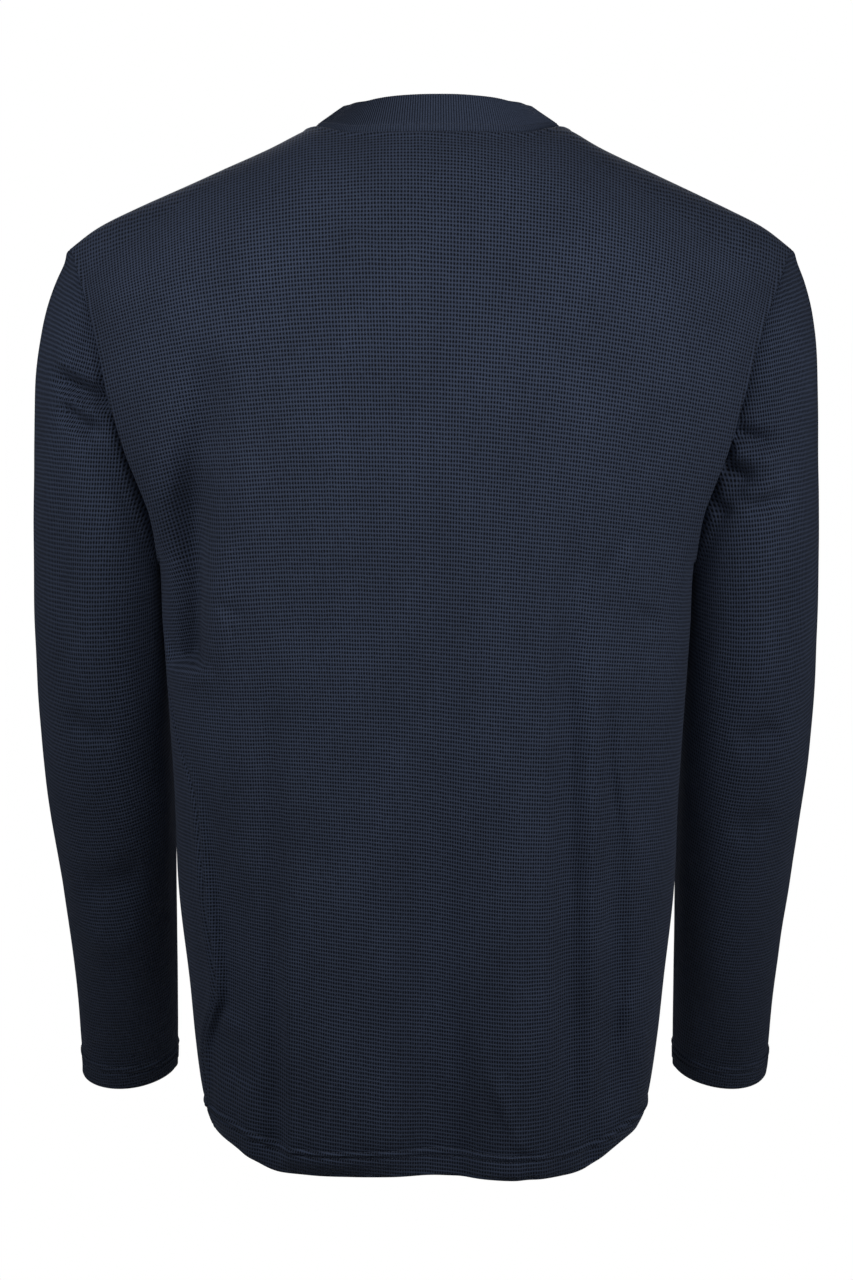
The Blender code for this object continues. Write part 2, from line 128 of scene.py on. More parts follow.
def smooth_table(columns, rows):
    """Gives a function of the first column that reads all of them off smooth curves, named."""
    table = np.array(sorted(rows))
    keys = table[:, 0]
    before = np.maximum(np.arange(len(keys)) - 1, 0)
    after = np.minimum(np.arange(len(keys)) + 1, len(keys) - 1)
    slopes = (table[after] - table[before]) / (keys[after] - keys[before])[:, None]

    def read(at):
        at = np.clip(at, keys[0], keys[-1])
        low = np.clip(np.searchsorted(keys, at, side="right") - 1, 0, len(keys) - 2)
        span = keys[low + 1] - keys[low]
        t = (at - keys[low]) / span
        values = {}
        for column, name in enumerate(columns):
            values[name] = (
                (1 + 2 * t) * (1 - t) ** 2 * table[low, column]
                + t * (1 - t) ** 2 * span * slopes[low, column]
                + t * t * (3 - 2 * t) * table[low + 1, column]
                + t * t * (t - 1) * span * slopes[low + 1, column]
            )
        return values

    return read


body_at = smooth_table(BODY_COLUMNS, BODY_SECTIONS)
side_seam_at = smooth_table(SIDE_SEAM_COLUMNS, SIDE_SEAMS)
shoulder_at = smooth_table(SHOULDER_COLUMNS, SHOULDER_LINE)


def halved(near, far, is_near):
    """Where is_near stops being true between near and far, for a whole array at once."""
    for _ in range(40):
        middle = (near + far) / 2
        keep = is_near(middle)
        near = np.where(keep, middle, near)
        far = np.where(keep, far, middle)
    return (near + far) / 2


def eased(share):
    """0 below 0, 1 above 1 and smooth between."""
    share = np.clip(share, 0.0, 1.0)
    return share * share * (3 - 2 * share)


def rounded(share, square):
    """How much of its depth a round form has at a share of the way to its side. The larger square
    is, the squarer the form."""
    return np.maximum(0.0, 1 - share ** square) ** (1 / square)


def shoulder_reach(z):
    """How far from the middle the shoulder line is at height z."""
    ends = np.zeros_like(z), np.full_like(z, SHOULDER_LINE[-1][0])
    return halved(*ends, lambda x: shoulder_at(x)["z"] > z)


def curved_over(x, z, curve):
    """Share of the full depth that the cloth has at height z, below the shoulder line at x."""
    climb = (z - curve["level"]) / (shoulder_at(x)["z"] - curve["level"])
    return rounded(np.clip(climb, 0.0, 1.0), curve["square"])


def depth_at(x, z, behind, reach=0.0):
    """How far the cloth is behind or in front of the shoulder ridge, at a distance from the
    middle and a height."""
    section = body_at(z)
    widest = np.maximum(section["half"], reach)
    full = np.where(behind, section["behind"], section["before"])
    over = np.where(behind, curved_over(x, z, CURVE_BEHIND), curved_over(x, z, CURVE_BEFORE))
    return full * rounded(x / widest, section["square"]) * over


def girth_points(z, degrees):
    """Points on the girth whose sides are at height z, by their angles from the middle of the
    back: positive towards the wearer's left."""
    sides = body_at(z)
    angle = np.radians(degrees)
    behind = np.cos(angle) >= 0
    reach = np.where(z > TIP_Z, shoulder_reach(z), sides["half"])
    x = reach * np.abs(np.sin(angle)) ** (2 / sides["square"])
    hang_behind = sides["drop_behind"] * eased((1 - x / reach) / HEM_CORNER)
    hang_before = sides["drop_before"] * np.maximum(0.0, 1 - (x / reach) ** 2) ** sides["fall"]
    height = z - np.where(behind, hang_behind, hang_before)
    depth = depth_at(x, height, behind, np.where(z > UNDERARM_Z, 0.0, reach))
    return np.stack((
        np.copysign(x, np.sin(angle)) - sides["lean"],
        RIDGE_Y + np.where(behind, depth, -depth),
        height,
    ), axis=-1)


# The panels' squares are about 3.5 mm. They are closer together next to each seam, to round the
# seam off, and in the hem, for the channels that its stitching pulls in.
SQUARE = 0.0035
HEM_SQUARE = 0.0010
HEM_FINE = 0.024  # height of cloth that has hem squares
HEM_ROUND = 0.0015  # the rounded fold at the very edge takes up this much
SEAM_STEPS = (0.0, 0.0008, 0.0018, 0.0030, 0.0046, 0.0066, 0.0092, 0.0122)
PANEL_SQUARES = 150  # across, between the fine squares of one edge and those of the other
ARMHOLE_ROWS = 64
ARMHOLE_EVENING = 0.2  # takes the armhole's points from even angles to nearly even distances
SHOULDER_ROWS = 44
SHOULDER_GRADING = 1.25  # makes the shoulder rows closer together towards the shoulder tip
NECK_STEPS = (0.0048, 0.0039, 0.0031, 0.0023, 0.0016, 0.0010, 0.0005, 0.0)
FINE_STEPS = 480  # how finely a girth is measured before it is divided


def panel_heights():
    """Heights of the girths that the panels' rows follow, from hem to neck, and the rows at the
    underarm and the shoulder tip."""
    heights = list(np.arange(HEM_Z + HEM_ROUND, HEM_Z + HEM_FINE, HEM_SQUARE))
    rise = UNDERARM_Z - heights[-1]
    count = round(rise / SQUARE)
    heights += [heights[-1] + rise * row / count for row in range(1, count)]
    underarm = len(heights)
    middle = (UNDERARM_Z + TIP_Z) / 2
    for row in range(ARMHOLE_ROWS):
        turn = math.pi * row / ARMHOLE_ROWS
        turn += ARMHOLE_EVENING * math.sin(2 * turn)
        heights.append(middle - (TIP_Z - middle) * math.cos(turn))
    tip = len(heights)
    top = NECK_Z - NECK_STEPS[0]
    for row in range(SHOULDER_ROWS):
        heights.append(TIP_Z + (top - TIP_Z) * (row / SHOULDER_ROWS) ** SHOULDER_GRADING)
    heights += [NECK_Z - step for step in NECK_STEPS]
    return np.array(heights), underarm, tip


panel_z, underarm_row, tip_row = panel_heights()


def edge_angles(side, face):
    """Where the rows of a panel end: at the side seam, the armhole or the shoulder seam. side is
    1 for the wearer's left and -1 for the right. face is 1 behind and -1 in front."""
    angles = np.full(len(panel_z), 90.0)
    seam = side_seam_at(panel_z)["left" if side > 0 else "right"]
    angles[:underarm_row + 1] = seam[:underarm_row + 1]
    z = panel_z[underarm_row + 1:tip_row]
    middle = (UNDERARM_Z + TIP_Z) / 2
    cut = ARMHOLE_HALF_WIDTH * np.sqrt(1 - ((z - middle) / (TIP_Z - middle)) ** 2)
    angles[underarm_row + 1:tip_row] = halved(
        np.full_like(z, 90.0),
        np.full_like(z, 90.0 - 60.0 * face),
        lambda angle: face * (girth_points(z, angle)[:, 1] - RIDGE_Y) < cut,
    )
    return angles


def run_lengths(points, axis):
    """Distances along the rows or columns of a grid of points, starting at zero."""
    steps = np.linalg.norm(np.diff(points, axis=axis), axis=-1)
    shape = list(points.shape[:-1])
    shape[axis] = 1
    return np.concatenate((np.zeros(shape), np.cumsum(steps, axis=axis)), axis=axis)


def points_at(line, run, at):
    """The points of a line at these distances along it."""
    return np.stack([np.interp(at, run, values) for values in line.T], axis=-1)


def divided(length, squares):
    """Distances along a row that divide it into even squares, with fine ones at both ends."""
    fine = np.array(SEAM_STEPS[:-1])
    even = np.linspace(SEAM_STEPS[-1], length - SEAM_STEPS[-1], squares + 1)
    return np.concatenate((fine, even, length - fine[::-1]))


def panel_grid(face):
    """The outer surface of the back (face 1) or the front (face -1), as rows from hem to neck
    that run with the cloth's outside on their left, seen from above."""
    left = edge_angles(1, face)
    right = edge_angles(-1, face)
    start, end = (left, -right) if face > 0 else (360.0 - right, left)
    share = np.linspace(0.0, 1.0, FINE_STEPS + 1)
    degrees = start[:, None] + (end - start)[:, None] * share
    fine = girth_points(np.repeat(panel_z[:, None], FINE_STEPS + 1, axis=1), degrees)
    lengths = run_lengths(fine, 1)
    rows = [points_at(line, run, divided(run[-1], PANEL_SQUARES)) for line, run in zip(fine, lengths)]
    return np.array(rows)


def unit(vectors):
    """The same directions, one metre long."""
    return vectors / np.linalg.norm(vectors, axis=-1, keepdims=True)


def outward(grid, ring=False):
    """The outward direction at each point of a grid. A ring's rows close on themselves."""
    along = np.gradient(grid, axis=1)
    if ring:
        along = np.roll(grid, -1, axis=1) - np.roll(grid, 1, axis=1)
    return unit(np.cross(along, np.gradient(grid, axis=0)))


back_base = panel_grid(1)
front_base = panel_grid(-1)
back_out = outward(back_base)
front_out = outward(front_base)
seamed_rows = np.r_[0:underarm_row + 1, tip_row:len(panel_z)]
for column in (0, -1):
    other = -1 - column
    both = unit(back_out[seamed_rows, column] + front_out[seamed_rows, other])
    back_out[seamed_rows, column] = both
    front_out[seamed_rows, other] = both


# ==== Sleeves: their form ========================================================================
# Each sleeve is one piece of waffle knit, folded round to one seam under the arm and set into the
# armhole. It hangs out and forward from the armhole and narrows to a turned cuff.
#
# Rings from the armhole to the cuff: the ring's point furthest from the body and its nearest, the
# middle's place fore and aft, its half depth, how far the ring leans with the forearm, in
# degrees, and how far it has left the armhole's shape.
SLEEVE_COLUMNS = ("outer_x", "outer_z", "inner_x", "inner_z", "y", "half_depth", "bend", "own")
SLEEVE_RINGS = (
    (0.2622, TIP_Z, 0.1935, UNDERARM_Z, RIDGE_Y, ARMHOLE_HALF_WIDTH, 0.0, 0.00),
    (0.2655, -0.0990, 0.1942, -0.3145, -0.0075, 0.0480, 0.0, 0.25),
    (0.2735, -0.1150, 0.1942, -0.3180, -0.0110, 0.0515, 0.0, 0.55),
    (0.2797, -0.1360, 0.1938, -0.3230, -0.0160, 0.0560, 0.0, 0.80),
    (0.2836, -0.1650, 0.1932, -0.3300, -0.0215, 0.0600, 0.0, 0.95),
    (0.2858, -0.2030, 0.1925, -0.3390, -0.0270, 0.0630, 1.0, 1.00),
    (0.2874, -0.2480, 0.1916, -0.3510, -0.0330, 0.0650, 2.0, 1.00),
    (0.2888, -0.2980, 0.1905, -0.3690, -0.0400, 0.0655, 4.0, 1.00),
    (0.2894, -0.3450, 0.1893, -0.3950, -0.0465, 0.0645, 7.0, 1.00),
    (0.2888, -0.3880, 0.1882, -0.4230, -0.0530, 0.0620, 10.0, 1.00),
    (0.2874, -0.4300, 0.1876, -0.4550, -0.0610, 0.0590, 14.0, 1.00),
    (0.2844, -0.4730, 0.1875, -0.4920, -0.0710, 0.0555, 17.5, 1.00),
    (0.2803, -0.5170, 0.1882, -0.5310, -0.0830, 0.0515, 19.5, 1.00),
    (0.2747, -0.5620, 0.1890, -0.5720, -0.0970, 0.0470, 21.0, 1.00),
    (0.2700, -0.6080, 0.1897, -0.6130, -0.1120, 0.0420, 21.5, 1.00),
    (0.2668, -0.6530, 0.1905, -0.6540, -0.1280, 0.0370, 22.0, 1.00),
    (0.2656, -0.6900, 0.1912, -0.6880, -0.1415, 0.0335, 22.0, 1.00),
    (0.2645, -0.7180, 0.1922, -0.7110, -0.1515, 0.0315, 22.0, 1.00),
)
SLEEVE_SWING = {"sleeve_left": 0.0020, "sleeve_right": 0.0000}  # of the cuff, to the wearer's left
SLEEVE_SQUARE = 0.0025  # along the sleeve
SLEEVE_FINE_STEPS = 1600  # how finely its length is measured before it is divided
SETTLED = 0.020  # how far from the armhole the columns have their own places along the seam


def armhole_line(panels, side):
    """The armhole from the shoulder tip down the back's edge to the underarm and up the front's,
    of two grids that belong to the back and the front."""
    back, front = panels
    behind = back[underarm_row:tip_row + 1, 0 if side > 0 else -1][::-1]
    before = front[underarm_row + 1:tip_row, -1 if side > 0 else 0]
    return np.concatenate((behind, before))


def closed(ring, axis=0):
    """A ring with its first point once more at its end."""
    return np.concatenate((ring, np.take(ring, [0], axis)), axis)


def sleeve_grid(side, swing):
    """Rings of a sleeve from cuff to armhole, that start at the underarm seam."""
    armhole = armhole_line((back_base, front_base), side)
    count = len(armhole)
    rows = [(number, *row) for number, row in enumerate(SLEEVE_RINGS)]
    ring_at = smooth_table(("number", *SLEEVE_COLUMNS), rows)
    fine = np.linspace(0, len(rows) - 1, SLEEVE_FINE_STEPS)
    ring = ring_at(fine)
    run = sum(
        run_lengths(np.stack((ring[end + "_x"], ring["y"], ring[end + "_z"]), axis=-1), 0)
        for end in ("outer", "inner")
    ) / 2
    cuff = run[-1] - HEM_ROUND - HEM_FINE
    plain = np.linspace(SEAM_STEPS[-1], cuff, round((cuff - SEAM_STEPS[-1]) / SLEEVE_SQUARE))
    hem = np.arange(cuff + HEM_SQUARE, run[-1] - HEM_ROUND, HEM_SQUARE)
    at = np.concatenate((SEAM_STEPS[:-1], plain, hem))
    number = np.interp(at, run, fine)
    ring = {name: values[:, None] for name, values in ring_at(number).items()}
    swung = swing * ((ring["number"] - 1) / (len(rows) - 2)) ** 2
    lean = body_at(ring["outer_z"])["lean"]
    outer = np.stack((side * ring["outer_x"] - lean + swung, ring["y"], ring["outer_z"]), axis=-1)
    inner = np.stack((side * ring["inner_x"] + swung, ring["y"], ring["inner_z"]), axis=-1)
    middle = (outer + inner) / 2
    bend = np.radians(ring["bend"])
    depth = np.stack((0 * bend, np.cos(bend), -np.sin(bend)), axis=-1) * ring["half_depth"][..., None]
    angle = (2 * np.pi * np.arange(count) / count)[None, :, None]
    own = middle + (outer - middle) * np.cos(angle) + depth * np.sin(angle)
    moved = armhole[None] - (armhole[0] + armhole[count // 2]) / 2 + middle
    rings = moved + (own - moved) * ring["own"][..., None]
    rings = np.roll(rings, -(count // 2), axis=1)
    if side < 0:
        rings = np.roll(rings[:, ::-1], 1, axis=1)
    # Away from the armhole the columns crowd at the seam, to round it off.
    settled = []
    for ring, far in zip(rings, at):
        line = closed(ring)
        run = run_lengths(line, 0)
        wanted = divided(run[-1], count + 2 - 2 * len(SEAM_STEPS))[:-1]
        share = eased(far / SETTLED)
        settled.append(points_at(line, run, run[:-1] * (1 - share) + wanted * share))
    return np.array(settled[::-1])


# At the armhole, sleeve and panels share one outward direction. Where shoulder or side seam meets
# it, all pieces do.
sleeve_base = {}
sleeve_out = {}
for side, name in ((1, "sleeve_left"), (-1, "sleeve_right")):
    sleeve_base[name] = sleeve_grid(side, SLEEVE_SWING[name])
    sleeve_out[name] = outward(sleeve_base[name], ring=True)
    turned = np.roll(armhole_line((back_out, front_out), side), -ARMHOLE_ROWS, axis=0)
    if side < 0:
        turned = np.roll(turned[::-1], 1, axis=0)
    both = unit(turned + sleeve_out[name][-1])
    sleeve_out[name][-1] = both
    if side < 0:
        both = np.roll(both[::-1], 1, axis=0)
    both = np.roll(both, ARMHOLE_ROWS, axis=0)
    back_column = 0 if side > 0 else -1
    front_column = -1 - back_column
    back_out[underarm_row:tip_row + 1, back_column] = both[ARMHOLE_ROWS::-1]
    front_out[underarm_row, front_column] = both[ARMHOLE_ROWS]
    front_out[underarm_row + 1:tip_row, front_column] = both[ARMHOLE_ROWS + 1:]
    front_out[tip_row, front_column] = both[0]


# ==== Neckband: its form =========================================================================
# A strip of 1x1 rib, folded double and sewn to the neck, that stands up and leans in.
BAND_CLOTH = 0.0026  # the thickness of both its layers
BAND_HEIGHT = 0.0264
BAND_LEAN = {"back": 12.0, "side": 56.0, "front": 42.0}  # degrees from upright
BAND_TURN = 2.2  # the larger, the shorter the stretch that leans as the side does
RIBS = 267
RIB_PROFILE = (0.0, 0.75, 1.0, 1.0, 1.0, 0.75)  # how far a rib stands out, across its width
BAND_STEPS = (0.0, 0.0006, 0.0013, 0.0021, 0.0030, 0.0039, 0.0048, 0.0058, 0.0070)
BAND_SQUARES = 9  # up the band, above its fine rows


def band_grid():
    """Rings of the neckband from its seam to its free edge. They start at the wearer's left high
    shoulder point and go round the back first."""
    foot = []
    turn = []
    for panel, half in ((back_base, 0), (front_base, 1)):
        line = panel[-1]
        run = run_lengths(line, 0)
        share = np.arange(RIBS * len(RIB_PROFILE)) * 2 / (RIBS * len(RIB_PROFILE)) - half
        share = share[(share >= 0) & (share < 1)]
        foot.append(points_at(line, run, share * run[-1]))
        turn.append(np.pi * (share + half))
    foot = np.concatenate(foot)
    turn = np.concatenate(turn)
    end = np.where(np.sin(turn) > 0, BAND_LEAN["back"], BAND_LEAN["front"])
    lean = np.radians(end + (BAND_LEAN["side"] - end) * np.abs(np.cos(turn)) ** BAND_TURN)
    inwards = np.stack((
        -foot[:, 0] - body_at(NECK_Z)["lean"],
        RIDGE_Y - foot[:, 1],
        np.zeros(len(foot)),
    ), axis=-1)
    rise = unit(inwards) * np.sin(lean)[:, None] + np.array((0, 0, 1)) * np.cos(lean)[:, None]
    top = BAND_HEIGHT - BAND_CLOTH / 2
    climb = np.concatenate((BAND_STEPS[:-1], np.linspace(BAND_STEPS[-1], top, BAND_SQUARES)))
    return foot[None] + rise[None] * climb[:, None, None], climb


band_base, band_climb = band_grid()
band_out = outward(band_base, ring=True)
neck_sides = ((back_base, back_out), (front_base, front_out))
for panel_base, panel_out in neck_sides:
    for column, point in enumerate(panel_base[-1]):
        near = np.argmin(np.linalg.norm(band_base[0] - point, axis=-1))
        panel_out[-1, column] = unit(panel_out[-1, column] + band_out[0, near])
for place, point in enumerate(band_base[0]):
    panel_base, panel_out = neck_sides[2 * place // len(band_base[0])]
    near = np.argmin(np.linalg.norm(panel_base[-1] - point, axis=-1))
    band_out[0, place] = panel_out[-1, near]


# ==== Back and front: the cloth ==================================================================
# Waffle knit falls in soft folds between its seams, and each seam draws it in.
#
# A fold is a soft trough (height below 0) or ridge along a line across the panel. Its columns, in
# millimetres: x and z of one end, x and z of the other, how far the line bows, the fold's half
# width and its height. The last two are the shares of its length over which it begins and ends.
BACK_FOLDS = (
    # the hollow below the left armhole deepens to a pocket that ends at once
    (152, -145, 169, -330, -3, 18, -14, 0.25, 0.4),
    (168, -200, 175, -390, -2, 14, -32, 0.7, 0.06),
    (168, -290, 173, -382, 0, 6.5, -3.5, 0.6, 0.1),
    (140, -260, 146, -400, 2, 9.5, 4.5, 0.35, 0.35),
    (174, -394, 150, -384, 0, 6, 3, 0.35, 0.35),
    (124, -345, 150, -330, -3, 4.5, -2.2, 0.35, 0.35),
    (136, -400, 132, -560, 3, 14, 4, 0.35, 0.35),
    # the long fall on the left, sharp at the hem
    (108, -340, 106, -700, 2, 9, -4.5, 0.35, 0.2),
    (105, -540, 104, -742, 0, 6, -3, 0.4, 0.14),
    (96, -540, 96, -742, 0, 5, 3, 0.4, 0.14),
    (108, -650, 105, -738, 0, 11, -4.2, 0.5, 0.3),
    (128, -650, 124, -735, 0, 8, 3, 0.4, 0.1),
    # the broad falls of the middle
    (146, -400, 142, -715, 0, 24, -11, 0.6, 0.25),
    (70, -340, 66, -745, 3, 42, 10, 0.6, 0.05),
    (30, -400, 26, -740, 2, 15, 3, 0.5, 0.1),
    (-6, -360, -10, -755, 3, 20, -7, 0.6, 0.05),
    (-58, -300, -66, -750, -3, 35, 18, 0.8, 0.04),
    (-24, -600, -26, -760, 0, 8, -3, 0.4, 0.05),
    (-43, -655, -70, -722, 1, 5, 3, 0.3, 0.2),
    (-56, -680, -78, -760, 0, 6, -2.4, 0.3, 0.05),
    # the long fall on the right, and slack between it and the side
    (-86, -280, -86, -700, 2, 8, 3.4, 0.4, 0.2),
    (-102, -220, -102, -730, 2, 11, -8.5, 0.45, 0.12),
    (-120, -330, -120, -640, 1, 7.5, 3, 0.3, 0.3),
    (-147, -280, -118, -326, 2, 5, -2.6, 0.35, 0.35),
    (-136, -285, -156, -348, 1, 6.5, 3.4, 0.35, 0.35),
    (-152, -336, -163, -360, 0, 6, -4, 0.4, 0.4),
    (-127, -385, -134, -500, 2, 6, -3.4, 0.35, 0.35),
    (-135, -430, -152, -530, 2, 5, 2.8, 0.35, 0.35),
    (-132, -430, -137, -725, 0, 11, -9, 0.5, 0.2),
    (-150, -600, -118, -700, -4, 6, 3.4, 0.3, 0.2),
    (-139, -620, -124, -700, 0, 5.5, -3.2, 0.3, 0.2),
    (-128, -660, -112, -735, 0, 6, -3.6, 0.3, 0.1),
    # between the shoulders
    (64, -72, 18, -101, 3, 10, 4.8, 0.35, 0.35),
    (22, -101, -16, -82, -2, 9, 3.6, 0.35, 0.35),
    (120, -120, 150, -230, 10, 24, 3.5, 0.35, 0.35),
    (-120, -110, -146, -240, -10, 24, 3.5, 0.35, 0.35),
    (-132, -100, -146, -128, 0, 9, -2.5, 0.4, 0.4),
    # where the side seam folds over, low on the left
    (158, -590, 151, -640, -2, 5, -3, 0.35, 0.35),
    (152, -634, 126, -644, 0, 5.5, 3, 0.35, 0.35),
    (146, -664, 120, -676, 0, 6, -2.6, 0.35, 0.35),
)
FRONT_FOLDS = (
    (150, -150, 128, -260, 8, 12, -3.6, 0.35, 0.35),
    (-152, -150, -130, -250, -8, 12, -3.6, 0.35, 0.35),
    (128, -130, 104, -220, 6, 14, 2.4, 0.35, 0.35),
    (-126, -130, -104, -215, -6, 14, 2.4, 0.35, 0.35),
    (140, -330, 110, -372, 3, 6, -2.4, 0.35, 0.35),
    (-142, -320, -112, -356, 3, 6, -2.4, 0.35, 0.35),
    (104, -300, 96, -640, 4, 11, -3.2, 0.35, 0.2),
    (60, -260, 62, -740, -5, 16, 3.4, 0.35, 0.05),
    (20, -400, 14, -740, 3, 15, -4.4, 0.4, 0.05),
    (-30, -300, -34, -700, 4, 18, 3, 0.35, 0.15),
    (-64, -400, -70, -740, -3, 13, -4.2, 0.4, 0.05),
    (-100, -340, -104, -735, 4, 13, 3.4, 0.35, 0.1),
    (-132, -540, -138, -725, 2, 7, -3.2, 0.35, 0.1),
    (124, -500, 128, -735, 2, 8, 2.8, 0.35, 0.1),
    (96, -600, 94, -740, 0, 7, -3, 0.35, 0.05),
    (60, -100, 26, -122, 4, 11, -1.4, 0.35, 0.35),
    (-58, -98, -24, -121, -4, 11, -1.4, 0.35, 0.35),
)


def bell(distance):
    """1 at 0, falling smoothly to nearly nothing at 2."""
    return np.exp(-(distance ** 2))


def folded(points, folds):
    """How far folds lift each point of the cloth."""
    lift = np.zeros(points.shape[:-1])
    for *sizes, begin, end in folds:
        x0, z0, x1, z1, bow, width, height = np.array(sizes) / 1000
        run = np.array((x1 - x0, z1 - z0))
        x = points[..., 0] - x0
        z = points[..., 2] - z0
        along = (x * run[0] + z * run[1]) / np.hypot(*run) ** 2
        aside = (z * run[0] - x * run[1]) / np.hypot(*run)
        inside = np.clip(along, 0.0, 1.0)
        aside = aside - bow * 4 * inside * (1 - inside)
        ends = eased(along / begin) * eased((1 - along) / end)
        lift += height * bell(aside / width) * ends
    return lift


# Nowhere is worn cloth quite even: it swells a little here and there, most towards the hem.
SWELL = 0.0007  # soft lumps all over
SWELL_SIZE = (0.045, 0.060, 0.110)
FALL = 0.0012  # long upright ones
FALL_SIZE = (0.026, 0.040, 0.200)
FALL_ABOVE = 0.3  # share of their height above the underarms


def swelling(points, size, seed):
    """Smooth chance unevenness from -1 to 1 whose lumps have a size."""
    scaled = points / np.array(size) + seed
    flat = scaled.reshape(-1, 3)
    return np.array([noise.noise(Vector(p)) for p in flat]).reshape(points.shape[:-1])


# What the seams do to the cloth beside them: it dips into the seam, and stands up over the
# seam allowance that is pressed to its own side.
SEAM_DIP = 0.0011
SEAM_DIP_WIDTH = 0.0013
ALLOWANCE = {  # how high it stands, how far from the seam, and how wide
    "side": (0.0005, 0.0050, 0.0030),
    "armhole": (0.0014, 0.0050, 0.0040),
    "shoulder": (0.0004, 0.0050, 0.0030),
    "neck": (0.0008, 0.0040, 0.0030),
}
CALM = 0.014  # how far from a seam folds reach their full height
TIP_BLEND = 0.020  # over this height the shoulder seam's rise turns into the armhole's
SEAM_ENDS = 0.004  # distance from one seam over which the next gets its full height
HEM_ENDS = 0.006  # and the same for a turned edge
HEM_TURN = 0.020  # how much of the lower edge is turned up
HEM_STEP = 0.002  # over this height the turning ends
HEM_THICKER = 0.0013  # the second layer, pressed flat
HEM_PROUD = 0.0010  # what of it stands out on the outside
STITCH_ROWS = (0.0142, 0.0196)  # how far above the fold the two rows of hem stitches run
STITCH_SINK = 0.0010  # how deep a row pulls the cloth in
STITCH_SINK_WIDTH = 0.0010
HEM_TUNNEL = 0.0008  # how far the cloth bulges between the two rows at the hem,
CUFF_TUNNEL = 0.0003  # and at a cuff
TUNNEL_WIDTH = 0.0015


def between(value, ends):
    """0 before the first end, 1 after the last and smooth between."""
    return eased((value - ends[0]) / (ends[1] - ends[0]))


def beside_seam(distance, kind):
    """How far a seam lifts the cloth that lies at a distance from it."""
    height, middle, width = ALLOWANCE[kind]
    dip = SEAM_DIP * bell(distance / SEAM_DIP_WIDTH)
    return height * np.exp(-((distance - middle) / width) ** 4) * eased(distance / middle) - dip


def turned_edge(distance, rows, tunnel):
    """How far a turned and stitched edge lifts its outer side, at a distance from the fold."""
    proud = HEM_PROUD * (1 - between(distance, (HEM_TURN - HEM_STEP / 2, HEM_TURN + HEM_STEP / 2)))
    for row in rows:
        proud = proud - STITCH_SINK * bell((distance - row) / STITCH_SINK_WIDTH)
    return proud + tunnel * bell((distance - sum(rows) / 2) / TUNNEL_WIDTH)


UNDERARM_PRESS = 0.00052  # how far body and sleeve swell towards each other below the underarm
PRESS_WIDTH = 0.025  # how far round from the seam
PRESS_BEGINS = (0.0, 0.003)  # distances below the underarm over which the swelling begins,
PRESS_ENDS = (0.020, 0.070)  # over which it ends,
DIP_BEGINS = (0.040, 0.120)  # and over which the seam begins to dip again
MEETING = 0.0004  # so close below the underarm it still dips


def below_underarm(from_seam, drop):
    """What the side or underarm seam does to its piece at a distance from it and below the
    underarm: body and sleeve touch there and press it flat, and only further down it dips."""
    dip = np.where(drop < MEETING, 1.0, between(drop, DIP_BEGINS))
    press = between(drop, PRESS_BEGINS) * (1 - between(drop, PRESS_ENDS))
    swell = UNDERARM_PRESS * press * bell(from_seam / PRESS_WIDTH)
    return beside_seam(from_seam, "side") * dip + swell


FOLD_WAY = np.array((0.2, 1.0, 0.6))  # cloth gives way in a fold mostly behind or before
SIDE_FACING = 0.5  # cloth that faces less behind or before than this folds less


def panel_lift(base, folds, seed):
    """How far each point of a panel lies from the plain form: by its swelling, seams and hem, and
    by its folds."""
    run = run_lengths(base, 1)
    from_side = np.minimum(run, run[:, -1:] - run)
    climb = run_lengths(base, 0)
    from_neck = climb[-1] - climb
    armhole = np.zeros(base.shape[:-1])
    rows = slice(underarm_row, tip_row + 1)
    share = eased((TIP_Z - base[rows, :, 2]) / TIP_BLEND)
    armhole[rows] = beside_seam(from_side[rows], "armhole") * share
    armhole[rows] += beside_seam(from_side[rows], "shoulder") * (1 - share)
    drop = UNDERARM_Z - base[:underarm_row, :, 2]
    armhole[:underarm_row] = below_underarm(from_side[:underarm_row], drop)
    armhole[tip_row + 1:] = beside_seam(from_side[tip_row + 1:], "shoulder")
    lower = eased((UNDERARM_Z - base[..., 2]) / (UNDERARM_Z - HEM_Z))
    swell = swelling(base, SWELL_SIZE, seed) * SWELL
    swell += swelling(base, FALL_SIZE, seed + 7.3) * FALL * (FALL_ABOVE + (1 - FALL_ABOVE) * lower)
    calm = eased(from_side / CALM) * eased(from_neck / CALM)
    lift = swell * calm + armhole
    lift += beside_seam(from_neck, "neck") * eased(from_side / SEAM_ENDS)
    lift += turned_edge(climb, STITCH_ROWS, HEM_TUNNEL) * eased(from_side / HEM_ENDS)
    return lift, folded(base, folds) * calm


def drawn_in(grid, ring=False):
    """The grid with its seam edges moved a hair into the piece, so that pieces don't touch."""
    moved = grid.copy()
    moved[-1] += unit(grid[-2] - grid[-1]) * SEAM_GAP / 2
    if not ring:
        for edge, inside in ((0, 1), (-1, -2)):
            moved[:, edge] += unit(grid[:, inside] - grid[:, edge]) * SEAM_GAP / 2
    return moved


# How the knit runs. A cell of waffle is a little wider and taller where the cloth is stretched
# over the shoulders than at the hem.
CELL_COLUMNS = ("z", "wide", "tall")
BODY_CELLS = (
    (-0.740, 0.00174, 0.00274),
    (-0.620, 0.00172, 0.00274),
    (-0.550, 0.00172, 0.00275),
    (-0.480, 0.00176, 0.00280),
    (-0.400, 0.00182, 0.00288),
    (-0.330, 0.00190, 0.00296),
    (-0.250, 0.00199, 0.00302),
    (-0.170, 0.00212, 0.00303),
    (-0.100, 0.00225, 0.00300),
    (0.020, 0.00236, 0.00298),
)
